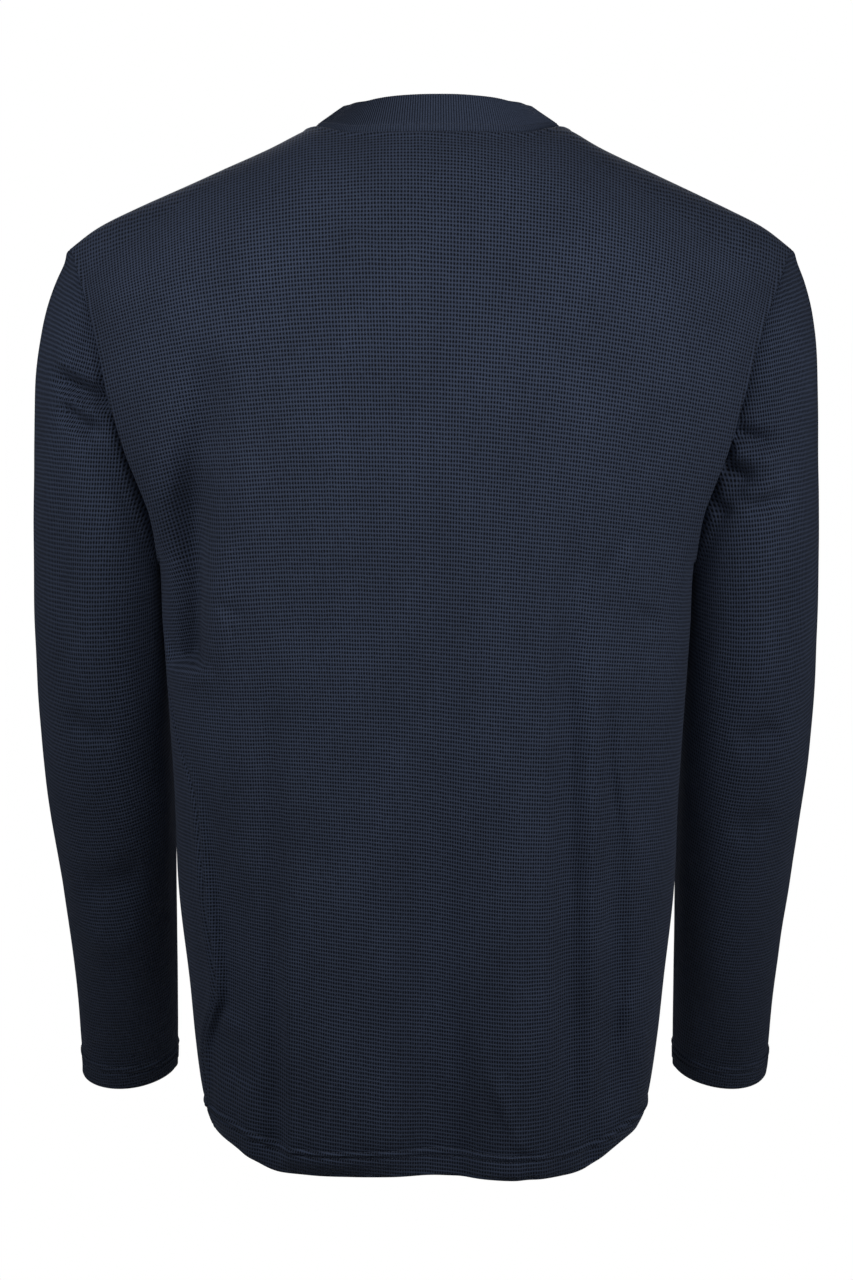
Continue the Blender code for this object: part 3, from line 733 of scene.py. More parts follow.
# The knit's courses sag and tilt: how they rise towards +X, at five places across.
COURSE_PLACES = (-0.180, -0.120, 0.0, 0.120, 0.180)
COURSE_COLUMNS = ("z", "far_right", "right", "middle", "left", "far_left")
BACK_COURSES = (
    (-0.700, -0.06, -0.14, 0.12, 0.16, 0.20),
    (-0.640, -0.06, -0.14, 0.14, 0.22, 0.20),
    (-0.560, 0.02, -0.06, 0.15, 0.10, 0.06),
    (-0.490, 0.08, 0.02, 0.16, 0.00, 0.04),
    (-0.425, 0.14, 0.04, 0.12, -0.04, 0.04),
    (-0.355, 0.19, 0.10, 0.08, -0.08, -0.10),
    (-0.300, 0.20, 0.14, 0.07, -0.06, -0.20),
    (-0.235, 0.20, 0.165, 0.06, -0.07, -0.21),
    (-0.160, 0.22, 0.17, 0.045, -0.10, -0.21),
    (-0.090, 0.25, 0.16, 0.05, -0.12, -0.25),
)
FRONT_COURSES = (
    (-0.700, -0.10, -0.08, 0.00, 0.08, 0.10),
    (-0.300, 0.04, 0.02, 0.00, -0.02, -0.04),
    (-0.090, 0.16, 0.10, 0.00, -0.10, -0.16),
)
LEVEL_COURSE = -0.200  # the courses are counted from here
STRETCH_ROUND = 0.74  # the least share of its width at which cloth that turns away still counts
STRETCH_FLAT = 0.44  # how much less that is above the underarm
STRETCH_OVER = 1.5  # the most of its height at which cloth that curves over the shoulder counts
TURNING = 0.100  # beyond this from the middle the cloth's turning away adds no courses
DRAWN_FLAT = (UNDERARM_Z - 0.030, UNDERARM_Z + 0.040)  # heights between which that begins
HEIGHT_STEP = 0.0015  # how finely a panel is measured from its foot up,
MEASURED_Z = (HEM_Z - 0.040, 0.020)  # between which heights,
MEASURED_HALF = 0.275  # how far from the middle
MEASURED_COLUMNS = 140  # and in how many columns

cells_at = smooth_table(CELL_COLUMNS, BODY_CELLS)


def course_rise(x, z, courses):
    """How much higher a course of the knit lies at a distance from the middle than there."""
    read = smooth_table(COURSE_COLUMNS, courses)(z)
    slopes = [read[name] for name in COURSE_COLUMNS[1:]]
    rise = np.zeros_like(x)
    for near, far, last in ((2, 3, False), (3, 4, True), (2, 1, False), (1, 0, True)):
        span = COURSE_PLACES[far] - COURSE_PLACES[near]
        gone = np.maximum((x - COURSE_PLACES[near]) * np.sign(span), 0.0)
        if not last:
            gone = np.minimum(gone, abs(span))
        steeper = (slopes[far] - slopes[near]) / abs(span)
        rise += np.sign(span) * (slopes[near] * gone + steeper * gone ** 2 / 2)
    return rise


def panel_cells(base, face, courses):
    """Where each point of a panel lies in its knit, counted in cells of waffle across and up."""
    x = base[..., 0]
    z = base[..., 2]
    section = body_at(z)
    off = np.minimum(np.abs(x + section["lean"]) / section["half"], 1.0)
    full = np.where(base[..., 1] > RIDGE_Y, section["behind"], -section["before"])
    round_y = full * rounded(off, section["square"])
    steps = np.hypot(np.diff(x, axis=1), np.diff(round_y, axis=1))
    # Above the underarm the panel is drawn flat to the armhole, and its wales stay upright.
    share = STRETCH_ROUND - STRETCH_FLAT * between(z[:, 1:], DRAWN_FLAT)
    level = np.maximum(np.abs(np.diff(x, axis=1)), share * steps)
    across = np.concatenate((np.zeros((len(base), 1)), np.cumsum(level, axis=1)), axis=1)
    middle = [np.interp(0.0, -face * row, run) for row, run in zip(x, across)]
    across = (np.array(middle)[:, None] - across) * face / cells_at(z)["wide"]

    # Heights are measured along the cloth, at a constant distance from the middle.
    levels = np.arange(*MEASURED_Z, HEIGHT_STEP)
    places = np.linspace(0.0, MEASURED_HALF, MEASURED_COLUMNS)
    high_x, high_z = np.meshgrid(places, levels, indexing="ij")
    section = body_at(high_z)
    off = np.minimum(high_x, TURNING) / section["half"]
    depth = section["behind" if face > 0 else "before"] * rounded(off, section["square"])
    depth *= curved_over(high_x, high_z, CURVE_BEHIND if face > 0 else CURVE_BEFORE)
    rise = np.hypot(HEIGHT_STEP, np.diff(depth, axis=1))
    rise = np.minimum(rise, STRETCH_OVER * HEIGHT_STEP) / cells_at(high_z[:, 1:])["tall"]
    climbed = np.concatenate((np.zeros((len(places), 1)), np.cumsum(rise, axis=1)), axis=1)
    climbed -= climbed[:, [np.searchsorted(levels, LEVEL_COURSE)]]
    column = np.abs(x + body_at(z)["lean"]) / places[1]
    row = (z - course_rise(x, z, courses) - levels[0]) / HEIGHT_STEP
    return np.stack((across, read_grid(climbed, column, row)), axis=-1)


def read_grid(grid, row, column):
    """A grid's values between its points."""
    row = np.clip(row, 0, grid.shape[0] - 1.001)
    column = np.clip(column, 0, grid.shape[1] - 1.001)
    r = row.astype(int)
    c = column.astype(int)
    up = row - r
    on = column - c
    low = grid[r, c] * (1 - on) + grid[r, c + 1] * on
    high = grid[r + 1, c] * (1 - on) + grid[r + 1, c + 1] * on
    return low * (1 - up) + high * up


def linear(code):
    """A colour from its sRGB hex code."""
    values = [int(code[start:start + 2], 16) / 255 for start in (0, 2, 4)]
    values = [v / 12.92 if v <= 0.04045 else ((v + 0.055) / 1.055) ** 2.4 for v in values]
    return (*values, 1.0)


def put(tree, kind, sockets, out=0, **settings):
    """Adds a node with its settings and its sockets' values or links, and gives one output."""
    node = tree.nodes.new("ShaderNode" + kind)
    for name, value in settings.items():
        setattr(node, name, value)
    for name, value in sockets.items():
        if isinstance(value, bpy.types.NodeSocket):
            tree.links.new(value, node.inputs[name])
        else:
            node.inputs[name].default_value = value
    return node.outputs[out] if node.outputs else node


def new_material(name):
    """An empty material: its node tree and itself."""
    material = bpy.data.materials.new(name)
    material.use_nodes = True
    material.node_tree.nodes.clear()
    return material.node_tree, material


def surfaced(tree, sockets):
    """Gives a material its surface."""
    put(tree, "OutputMaterial", {"Surface": put(tree, "BsdfPrincipled", sockets)})


def varied(tree, colour, light, value, span=(0.0, 1.0)):
    """A colour made darker and lighter as a value goes over its span."""
    scale = put(tree, "MapRange", {
        "Value": value, "From Min": span[0], "From Max": span[1],
        "To Min": light[0], "To Max": light[1],
    })
    return put(tree, "VectorMath", {0: linear(colour)[:3], "Scale": scale}, operation="SCALE")


NAVY_RAISED = "465169"
# The pit colour is painted shade: the dark of the shade deep in a waffle pit, put into the cloth's
# colour.
NAVY_PAINTED_PIT_SHADE = "0A0E16"
# Patterns are counted in cells of waffle, which are about 2 mm wide and 3 mm tall.
WANDER = (0.35, 0.40, 0.0)  # the width, in cells, over which cells stray about their places
WANDER_BENDS = 0.16  # bends in a line of cells, to a cell
YARN_PATCHES = 0.9  # lighter and darker patches of yarn to a cell
CLOUDS = 0.045  # larger clouds of them to a cell
# A cell's slopes are a cosine that is cut off: at the crest of a wale (X) or of a course (Y), and
# at the floor of the pit.
CREST_EDGE = {"X": 0.75, "Y": 0.85}
PIT_EDGE = -0.55
# So a pit's darkness is painted shade, more of it the deeper the pit.
PIT_SHADE = (0.54, 0.68)  # how dark a pit is, from the shallowest to the deepest
FUZZ_HEIGHT = 0.35  # height of the yarn's unevenness, as a share of a pit's
# How far the cloth falls between two wales even on a course, and between two courses even on a
# wale: the body's weight draws the shoulders' pits open, and lower down the courses close up.
WALE_SHARE = {"low": 0.31, "high": 0.42}
COURSE_SHARE = {"low": 0.40, "high": 0.30}
LOW_Z = -0.65  # up to this height they are low,
HIGH_Z = -0.30  # and from here on high
PIT_DEPTH = 0.0006
# Matt combed cotton with the pale fuzz of its fibre ends, in waffle and rib alike.
COTTON = {
    "Specular IOR Level": 0.25,
    "Sheen Weight": 0.16,
    "Sheen Roughness": 0.45,
    "Sheen Tint": linear("8C97B4"),
}


def waffle_knit(name):
    """Waffle knit of combed cotton: rows of square pits between raised courses and wales. The shade in
    the pits is painted into the colour, darker the deeper the pit, so that the raised yarn looks lighter,
    and the cells are never quite alike."""
    tree, material = new_material(name)
    knit = put(tree, "UVMap", {}, uv_map="knit")
    wander = put(tree, "TexNoise", {"Vector": knit, "Scale": WANDER_BENDS, "Detail": 2.0}, out=1)
    wander = put(tree, "VectorMath", {0: wander, 1: (0.5, 0.5, 0.5)}, operation="SUBTRACT")
    wander = put(tree, "VectorMath", {0: wander, 1: WANDER}, operation="MULTIPLY")
    cells = put(tree, "VectorMath", {0: knit, 1: wander}, operation="ADD")
    number = put(tree, "VectorMath", {0: cells}, operation="FLOOR")
    chance = put(tree, "TexWhiteNoise", {"Vector": number}, noise_dimensions="2D")
    turned = put(tree, "VectorMath", {0: cells, "Scale": 2 * math.pi}, operation="SCALE")
    # 0 on a wale or a course and 1 between, so that a crossing is highest and a pit lowest
    low = {}
    for axis, crest in CREST_EDGE.items():
        ridge = put(tree, "SeparateXYZ", {0: turned}, out=axis)
        ridge = put(tree, "Math", {0: ridge}, operation="COSINE")
        ridge = put(tree, "MapRange", {"Value": ridge, "From Min": PIT_EDGE, "From Max": crest})
        low[axis] = put(tree, "Math", {0: 1.0, 1: ridge}, operation="SUBTRACT")
    height = put(tree, "TexCoord", {}, out="Object")
    height = put(tree, "SeparateXYZ", {0: height}, out="Z")
    pit = put(tree, "Math", {0: low["Y"], 1: low["X"]}, operation="MULTIPLY")
    for axis, share in (("X", WALE_SHARE), ("Y", COURSE_SHARE)):
        share = put(tree, "MapRange", {
            "Value": height, "From Min": LOW_Z, "From Max": HIGH_Z,
            "To Min": share["low"], "To Max": share["high"],
        })
        pit = put(tree, "Math", {0: low[axis], 1: share, 2: pit}, operation="MULTIPLY_ADD")
    # A pit's chance depth sets both its bump and its painted shade.
    depth = put(tree, "MapRange", {"Value": chance, "To Min": PIT_SHADE[0], "To Max": PIT_SHADE[1]})
    pit = put(tree, "Math", {0: pit, 1: depth}, operation="MULTIPLY")
    yarn = put(tree, "TexNoise", {
        "Vector": knit, "Scale": YARN_PATCHES, "Detail": 4.0, "Roughness": 0.7,
    })
    cloud = put(tree, "TexNoise", {"Vector": knit, "Scale": CLOUDS, "Detail": 3.0})
    shade = put(tree, "Math", {0: yarn, 1: cloud}, operation="ADD")
    light = varied(tree, NAVY_RAISED, (0.80, 1.20), shade, (0.6, 1.4))
    # Painted shade: each pit is mixed towards the dark pit colour by its depth.
    colour = put(tree, "Mix", {0: pit, 4: light, 5: linear(NAVY_PAINTED_PIT_SHADE)[:3]}, 1, data_type="VECTOR")
    raised = put(tree, "Math", {0: yarn, 1: FUZZ_HEIGHT, 2: pit}, operation="MULTIPLY_ADD")
    bump = put(tree, "Bump", {"Height": raised, "Distance": PIT_DEPTH}, invert=True)
    surfaced(tree, {"Base Color": colour, "Normal": bump, "Roughness": 0.92, **COTTON})
    return material


EDGE_POINTS = 3  # points round a free edge
CREASE = 50.0  # degrees from which an edge is sharp


def made_mesh(name, points, faces, material):
    """A smoothly shaded mesh of one material."""
    mesh = bpy.data.meshes.new(name)
    mesh.from_pydata(points.tolist(), [], faces)
    mesh.materials.append(material)
    mesh.shade_smooth()
    return mesh


def placed(name, data, place=(0.0, 0.0, 0.0)):
    """A new object in the scene."""
    thing = bpy.data.objects.new(name, data)
    thing.location = place
    bpy.context.scene.collection.objects.link(thing)
    return thing


def cloth_piece(name, outer, inner, cells, material, ring=False):
    """Makes a piece of cloth from its outside and inside, as rows from its free edge to its seam:
    rounds the free edge and closes the seam. cells is where each point lies in the knit, and in
    a ring has one more column, which closes it."""
    rows, columns = outer.shape[:2]
    middle = (outer[0] + inner[0]) / 2
    reach = (outer[0] - inner[0]) / 2
    away = outer[0] - outer[1]
    away -= unit(reach) * (away * unit(reach)).sum(axis=-1, keepdims=True)
    away = unit(away) * np.linalg.norm(reach, axis=-1, keepdims=True)
    turns = np.pi * np.arange(1, EDGE_POINTS + 1) / (EDGE_POINTS + 1)
    fold = np.array([middle + reach * np.cos(turn) + away * np.sin(turn) for turn in turns])
    points = np.concatenate((outer[::-1], fold, inner))
    maps = np.concatenate((cells[::-1], np.repeat(cells[:1], EDGE_POINTS, axis=0), cells))
    count = len(points)
    steps = columns if ring else columns - 1
    r, c = np.meshgrid(np.arange(count), np.arange(steps), indexing="ij")
    s = (r + 1) % count
    d = (c + 1) % columns
    faces = np.stack((r * columns + c, s * columns + c, s * columns + d, r * columns + d), axis=-1)
    place = np.minimum(c + 1, maps.shape[1] - 1)
    places = np.stack((maps[r, c], maps[s, c], maps[s, place], maps[r, place]), axis=-2)
    faces = faces.reshape(-1, 4).tolist()
    places = list(places.reshape(-1, 4, 2))
    if not ring:
        for column in (0, columns - 1):
            sides = [(rows - 2 - k, rows - 1 - k, rows + EDGE_POINTS + k, rows + EDGE_POINTS + k + 1)
                     for k in range(rows - 1)]
            sides.append(tuple(range(rows - 1, rows + EDGE_POINTS + 1)))
            for side in sides:
                turn = side if column else side[::-1]
                faces.append([row * columns + column for row in turn])
                places.append(maps[list(turn), column])
    piece = placed(name, made_mesh(name, points.reshape(-1, 3), faces, material))
    piece.data.uv_layers.new(name="knit").data.foreach_set("uv", np.concatenate(places).ravel())
    piece.data.set_sharp_from_angle(angle=math.radians(CREASE))
    return piece


def hemmed(climb):
    """How thick the cloth is at a distance from its free edge, which is turned up."""
    return CLOTH + HEM_THICKER * (1 - between(climb, (HEM_TURN - HEM_STEP, HEM_TURN)))


# The armhole seam lies deep: the panel rolls down into it, and the sleeve comes out from under it.
SINK_COLUMNS = ("z", "deep")
ARMHOLE_SINK = (
    (TIP_Z, 0.0),
    (-0.120, 0.0030),
    (-0.170, 0.0080),
    (-0.220, 0.0150),
    (-0.260, 0.0200),
    (-0.285, 0.0190),
    (-0.303, 0.0100),
    (UNDERARM_Z, 0.0),
)
ARMHOLE_ROLL = 0.0026  # over this distance the panel rolls down,
ROLL_GROWTH = 0.18  # and over this share of the depth more
SLEEVE_RISE = 0.016  # over this distance the sleeve comes up again

sink_at = smooth_table(SINK_COLUMNS, ARMHOLE_SINK)


def made_panel(name, base, out, face, folds, courses, seed):
    """A panel's outer surface, and the finished piece."""
    lift, fall = panel_lift(base, folds, seed)
    fall *= eased(np.linalg.norm(out * FOLD_WAY, axis=-1) / SIDE_FACING)
    lifted = drawn_in(base) + out * lift[..., None] + unit(out * FOLD_WAY) * fall[..., None]
    run = run_lengths(base, 1)
    for column, far in ((0, run), (-1, run[:, -1:] - run)):
        deep = sink_at(base[:, column, 2])["deep"][:, None]
        deep = deep * bell(far / (ARMHOLE_ROLL + ROLL_GROWTH * deep))
        lifted -= deep[..., None] * unit(out[:, [column]] * FOLD_WAY)
    inside = lifted - out * hemmed(run_lengths(base, 0))[..., None]
    piece = cloth_piece(name, lifted, inside, panel_cells(base, face, courses), knit_material)
    return lifted, piece


knit_material = waffle_knit("waffle_knit_cotton_navy")
back_skin, back = made_panel("back_panel", back_base, back_out, 1, BACK_FOLDS, BACK_COURSES, 11.7)
front_skin, front = made_panel("front_panel", front_base, front_out, -1, FRONT_FOLDS, FRONT_COURSES, 42.1)

# The turned hem is topstitched in two rows by a twin needle, with polyester thread in the cloth's
# colour. Each stitch is a short bar of thread that dips at its ends.
STITCH_WIDTH = 0.00034  # half the thread's width as it lies,
STITCH_THICK = 0.00026  # and half its thickness
STITCH_PROFILE = ((-0.86, 0.62), (-0.40, 1.0), (0.40, 1.0), (0.86, 0.62))  # along it, and how thick
STITCH_PROUD = 0.5  # how far its middle lies above the cloth, as a share of STITCH_THICK,
STITCH_ARCH = 1.1  # and how much lower its ends are
STITCH_SIDES = 6
HEM_STITCH = {"pitch": 0.0028, "length": 0.0023}
THREAD_TWIST = 900.0  # the pattern's scale that makes a twist 0.7 mm long


def line_along(points, out, distance, at):
    """The line on a grid that keeps a distance from the edge, and the outward directions there."""
    both = np.concatenate((points, out), axis=-1)
    columns = range(both.shape[1])
    return np.array([points_at(both[:, column], distance[:, column], at) for column in columns])


def stitching(name, lines, stitch):
    """All the stitches of some rows as one piece."""
    points = []
    faces = []
    for line in lines:
        run = run_lengths(line[:, :3], 0)
        count = round(run[-1] / stitch["pitch"])
        for number in range(count):
            middle = run[-1] * (number + 0.5) / count
            ends = middle + np.array((-0.5, 0.0, 0.5)) * stitch["length"]
            a, m, b = points_at(line, run, ends)
            along = (b[:3] - a[:3]) / 2
            out = unit(m[3:])
            aside = unit(np.cross(along, out))
            first = len(points)
            points.append(m[:3] - along - out * STITCH_THICK)
            for place, thick in STITCH_PROFILE:
                rise = STITCH_PROUD - STITCH_ARCH * place ** 2
                centre = m[:3] + along * place + out * STITCH_THICK * rise
                for corner in range(STITCH_SIDES):
                    angle = 2 * math.pi * corner / STITCH_SIDES
                    points.append(centre + aside * math.cos(angle) * STITCH_WIDTH * thick
                                  + out * math.sin(angle) * STITCH_THICK * thick)
            points.append(m[:3] + along - out * STITCH_THICK)
            last = len(points) - 1
            for corner in range(STITCH_SIDES):
                after = (corner + 1) % STITCH_SIDES
                faces.append((first, first + 1 + after, first + 1 + corner))
                for low in range(first + 1, last - STITCH_SIDES, STITCH_SIDES):
                    high = low + STITCH_SIDES
                    faces.append((low + corner, low + after, high + after, high + corner))
                low = last - STITCH_SIDES
                faces.append((low + corner, low + after, last))
    return placed(name, made_mesh(name, np.array(points), faces, thread))


def sewing_thread(name):
    """Polyester sewing thread: strands with a slight lustre, twisted once every 0.7 mm."""
    tree, material = new_material(name)
    place = put(tree, "TexCoord", {}, out="Object")
    twist = put(tree, "TexWave", {"Vector": place, "Scale": THREAD_TWIST, "Distortion": 1.5},
                bands_direction="DIAGONAL")
    surfaced(tree, {
        "Base Color": varied(tree, "3E4659", (0.75, 1.15), twist),
        "Normal": put(tree, "Bump", {"Height": twist, "Distance": 0.0001}),
        "Roughness": 0.6,
        "Specular IOR Level": 0.4,
    })
    return material


thread = sewing_thread("polyester_sewing_thread_navy")


def sewn(piece, node, stitches):
    """Hides the part that a finished piece of cloth stands for. It and its stitches ride on the one body."""
    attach(piece, "root")
    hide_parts(node)
    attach(stitches, "root")


for node, piece, slot, skin, out, base, flat, area in (
    ("back", back, "waffle_back", back_skin, back_out, back_base, (0.610, 0.785), 0.380),
    ("front", front, "waffle_front", front_skin, front_out, front_base, (0.600, 0.755), 0.364),
):
    climb = run_lengths(base, 0)
    lines = [line_along(skin, out, climb, row) for row in STITCH_ROWS]
    sewn(piece, node, stitching(node + "_hem_stitches", lines, HEM_STITCH))


# ==== Sleeves: the cloth =========================================================================
# Set in from behind, so that the panels' seam allowance lies under the panels and the sleeve is
# tucked in. The slack of the cloth gathers below the shoulder, at the elbow and above the cuff.
SLEEVE_FOLDS_BEHIND = (
    # the left one
    (268, -162, 220, -186, 2, 6, 4.5, 0.3, 0.25),
    (270, -174, 217, -199, 2, 6, -13, 0.3, 0.1),
    (268, -190, 226, -210, 1, 5, 3.5, 0.3, 0.3),
    (266, -194, 228, -224, 1, 6.2, -10, 0.3, 0.35),
    (268, -420, 224, -444, 3, 9, -3, 0.35, 0.35),
    (206, -548, 264, -560, -2, 15, -4, 0.25, 0.25),
    (206, -592, 262, -602, -2, 15, 2.2, 0.25, 0.25),
    # the right one
    (-208, -214, -262, -226, 1, 5.8, -12, 0.1, 0.6),
    (-214, -228, -256, -240, 2, 5.5, 4.5, 0.2, 0.4),
    (-202, -240, -242, -254, 1, 6.2, -12, 0.1, 0.6),
    (-222, -273, -266, -262, 1, 5.5, -4.8, 0.35, 0.35),
    (-222, -261, -252, -255, 1, 4.5, 3.4, 0.35, 0.35),
    (-200, -264, -218, -280, 0, 5, -6, 0.2, 0.4),
    (-264, -435, -224, -452, 3, 11, -4.5, 0.35, 0.35),
    (-262, -500, -222, -520, 3, 10, -3, 0.35, 0.35),
)
SLEEVE_FOLDS_BEFORE = (
    (274, -355, 206, -392, 6, 7, -4, 0.35, 0.2),
    (270, -392, 200, -414, 5, 6, 3.2, 0.35, 0.2),
    (266, -426, 204, -440, 4, 6, -3.6, 0.35, 0.2),
    (256, -462, 212, -470, 3, 6, -2, 0.35, 0.35),
    (236, -150, 222, -240, 6, 8, -2.4, 0.35, 0.35),
    (-274, -350, -208, -386, 6, 7, -3.8, 0.35, 0.2),
    (-268, -388, -202, -410, 5, 6, 3, 0.35, 0.2),
    (-266, -422, -206, -436, 4, 6, -3.6, 0.35, 0.2),
    (-256, -458, -214, -468, 3, 6, -1.8, 0.35, 0.35),
    (-236, -150, -224, -238, -6, 8, -2.2, 0.35, 0.35),
)
CUFF_STITCH_ROWS = (0.0130, 0.0192)
TOUCHING = 0.0012  # just below the underarm the sleeve lies this close to the body
TOUCH_WIDTH = 0.022  # how far round from its seam
TOUCH_ENDS = (0.050, 0.100)  # distances below the underarm over which they part
ROUND_BACK = 0.7  # over this change of its facing a sleeve's back turns into its front
SLEEVE_FALL = 0.5  # share of the body's unevenness
SLEEVE_DIP_WIDTH = SEAM_DIP_WIDTH * 1.6
SLEEVE_SWELL_SIZE = (0.060, 0.060, 0.045)
# How a sleeve's knit runs. Its courses lie level a little above the elbow, rise outwards over that
# and sink below it. Each row is one course: its middle, its slope outwards on the left sleeve and
# on the right, and how far the middle of the sleeve is from its sides and from its back there.
SLEEVE_COURSE_COLUMNS = ("z", "x", "y", "left", "right", "half", "depth")
SLEEVE_COURSES = (
    (-0.060, 0.236, -0.005, 0.95, 0.62, 0.047, 0.046),
    (-0.108, 0.237, -0.006, 0.70, 0.48, 0.047, 0.048),
    (-0.144, 0.238, -0.007, 0.47, 0.34, 0.047, 0.050),
    (-0.173, 0.239, -0.008, 0.34, 0.28, 0.047, 0.053),
    (-0.207, 0.240, -0.010, 0.13, 0.20, 0.047, 0.056),
    (-0.247, 0.240, -0.022, 0.05, 0.13, 0.047, 0.060),
    (-0.300, 0.240, -0.033, 0.00, 0.09, 0.048, 0.065),
    (-0.370, 0.240, -0.047, -0.04, 0.01, 0.050, 0.065),
    (-0.442, 0.238, -0.061, -0.12, -0.07, 0.050, 0.059),
    (-0.524, 0.234, -0.083, -0.15, -0.14, 0.046, 0.052),
    (-0.610, 0.230, -0.112, -0.15, -0.17, 0.040, 0.042),
    (-0.714, 0.228, -0.152, -0.17, -0.17, 0.036, 0.032),
    (-0.760, 0.228, -0.168, -0.17, -0.17, 0.036, 0.031),
)
# From the shoulder to the elbow they tip with the arm, until they rise this steeply to the front.
SLEEVE_BEND = {"top": -0.200, "elbow": -0.480, "steepest": 0.40}
CELL_WIDE = 0.00198
CELL_TALL = {"cuff": 0.0028, "top": 0.0030}
CELL_LEVELS = (-0.700, -0.300)  # heights between which a cell grows from one to the other
COURSE_STEP = 0.0015  # how finely a sleeve is measured

course_at = smooth_table(SLEEVE_COURSE_COLUMNS, SLEEVE_COURSES)


def sleeve_cells(base, side):
    """Where each point of a sleeve lies in its knit, counted in cells of waffle round and up."""
    x, y, z = np.moveaxis(closed(base, 1), -1, 0)
    x = x * side
    slope_name = "left" if side > 0 else "right"

    def above(level):
        """How far a point is above the course whose middle has a level."""
        course = course_at(level)
        bend = 1 - between(level, (SLEEVE_BEND["elbow"], SLEEVE_BEND["top"]))
        bend *= SLEEVE_BEND["steepest"]
        return z - level - course[slope_name] * (x - course["x"]) + bend * (y - course["y"])

    ends = np.full_like(z, SLEEVE_COURSES[-1][0]), np.full_like(z, SLEEVE_COURSES[0][0])
    level = halved(*ends, lambda level: above(level) > 0)
    course = course_at(level)
    turn = np.arctan2((y - course["y"]) / course["depth"], (x - course["x"]) / course["half"])
    turn = np.unwrap(turn, axis=1)
    turn -= np.round(turn.mean(axis=1, keepdims=True) / (2 * np.pi)) * 2 * np.pi
    mean = (course["half"] + course["depth"]) / 2
    across = mean * turn + (course["depth"] - course["half"]) / 4 * np.sin(2 * turn)

    levels = np.arange(SLEEVE_COURSES[-1][0], SLEEVE_COURSES[0][0] + COURSE_STEP, COURSE_STEP)
    middles = course_at(levels)["y"]
    tall = np.interp(levels, CELL_LEVELS, (CELL_TALL["cuff"], CELL_TALL["top"]))
    climbed = np.cumsum(np.hypot(COURSE_STEP, np.gradient(middles)) / tall)
    up = np.interp(level, levels, climbed)
    return np.stack((across * side / CELL_WIDE, up), axis=-1)


def sleeve_lift(base, out, seed):
    """How far each point of a sleeve lies from the plain form."""
    climb = run_lengths(base, 0)
    climb = np.broadcast_to(climb.mean(axis=1, keepdims=True), climb.shape)
    down = climb[-1] - climb
    run = run_lengths(closed(base, 1), 1)
    from_seam = np.minimum(run[:, :-1], run[:, -1:] - run[:, :-1])
    behind = eased(0.5 + out[..., 1] / ROUND_BACK)
    lift = folded(base, SLEEVE_FOLDS_BEHIND) * behind
    lift += folded(base, SLEEVE_FOLDS_BEFORE) * (1 - behind)
    lift += swelling(base, SLEEVE_SWELL_SIZE, seed) * SWELL
    lift += swelling(base, FALL_SIZE, seed + 3.1) * FALL * SLEEVE_FALL
    lift *= eased(down / CALM) * eased(from_seam / CALM)
    lift -= SEAM_DIP * bell(down / SLEEVE_DIP_WIDTH)
    lift += below_underarm(from_seam, down) * eased(down / SEAM_ENDS)
    apart = np.abs(base[:, :1, 0]) - body_at(base[:, :1, 2])["half"] - TOUCHING
    pull = eased(down / SEAM_ENDS) * (1 - between(down, TOUCH_ENDS))
    lift += np.maximum(apart, 0.0) * pull * bell(from_seam / TOUCH_WIDTH)
    lift += turned_edge(climb, CUFF_STITCH_ROWS, CUFF_TUNNEL) * eased(from_seam / HEM_ENDS)
    return lift


for side, name, slot, seed in (
    (1, "sleeve_left", "waffle_sleeve_left", 5.3),
    (-1, "sleeve_right", "waffle_sleeve_right", 23.9),
):
    base = sleeve_base[name]
    out = sleeve_out[name]
    lifted = drawn_in(base, ring=True) + out * sleeve_lift(base, out, seed)[..., None]
    climb = run_lengths(base, 0)
    deep = sink_at(base[-1, :, 2])["deep"] * np.exp((climb - climb[-1]) / SLEEVE_RISE)
    lifted -= deep[..., None] * unit(out[-1] * FOLD_WAY)
    inside = lifted - out * hemmed(climb.mean(axis=1))[:, None, None]
    cells = sleeve_cells(base, side)
    piece = cloth_piece(name + "_cloth", lifted, inside, cells, knit_material, ring=True)
    lines = [closed(line_along(lifted, out, climb, row)) for row in CUFF_STITCH_ROWS]
    cuff_stitches = stitching(name + "_cuff_stitches", lines, HEM_STITCH)
    sewn(piece, name, cuff_stitches)


# ==== Neckband: the cloth ========================================================================
# Fine 1x1 rib. Its ribs run up the band and over its folded edge, and the coverstitching along
# its foot presses them flat.
RIB_HEIGHT = 0.00042
RIB_PRESSED = 0.30  # what is left of a rib's height under the coverstitching
COVERSTITCH_HEIGHT = 0.0045
RIB_RAISED = "414B61"
# The valley colour is painted shade: the dark that falls in the narrow valleys between ribs, put into the
# colour.
RIB_VALLEY_SHADE = "141923"
RIB_STITCH = 0.0013  # height of one knitted stitch
STITCH_SLANT = -1.6  # how steeply a stitch's legs rise from the rib's middle
STITCH_SHADE = 0.10  # how much lighter its middle is
STITCH_RELIEF = 0.3  # its height as a share of the yarn's unevenness, which is
YARN_RELIEF = 0.0002
RIB_YARN_PATCHES = 0.8  # lighter and darker patches of yarn to a rib
PRESSED_STEP = 0.0015  # over this height above the coverstitching a rib gets its full height
BAND_DIP_WIDTH = SEAM_DIP_WIDTH * 1.3
BAND_SWELL = 0.0003
BAND_SWELL_SIZE = (0.02, 0.02, 0.02)
BAND_CALM = 0.010  # how far up the band it swells fully
NECK_STITCH = {"pitch": 0.0024, "length": 0.0020}
NECK_STITCH_BELOW = 0.0019  # how far below the neck seam the lower row of coverstitching runs


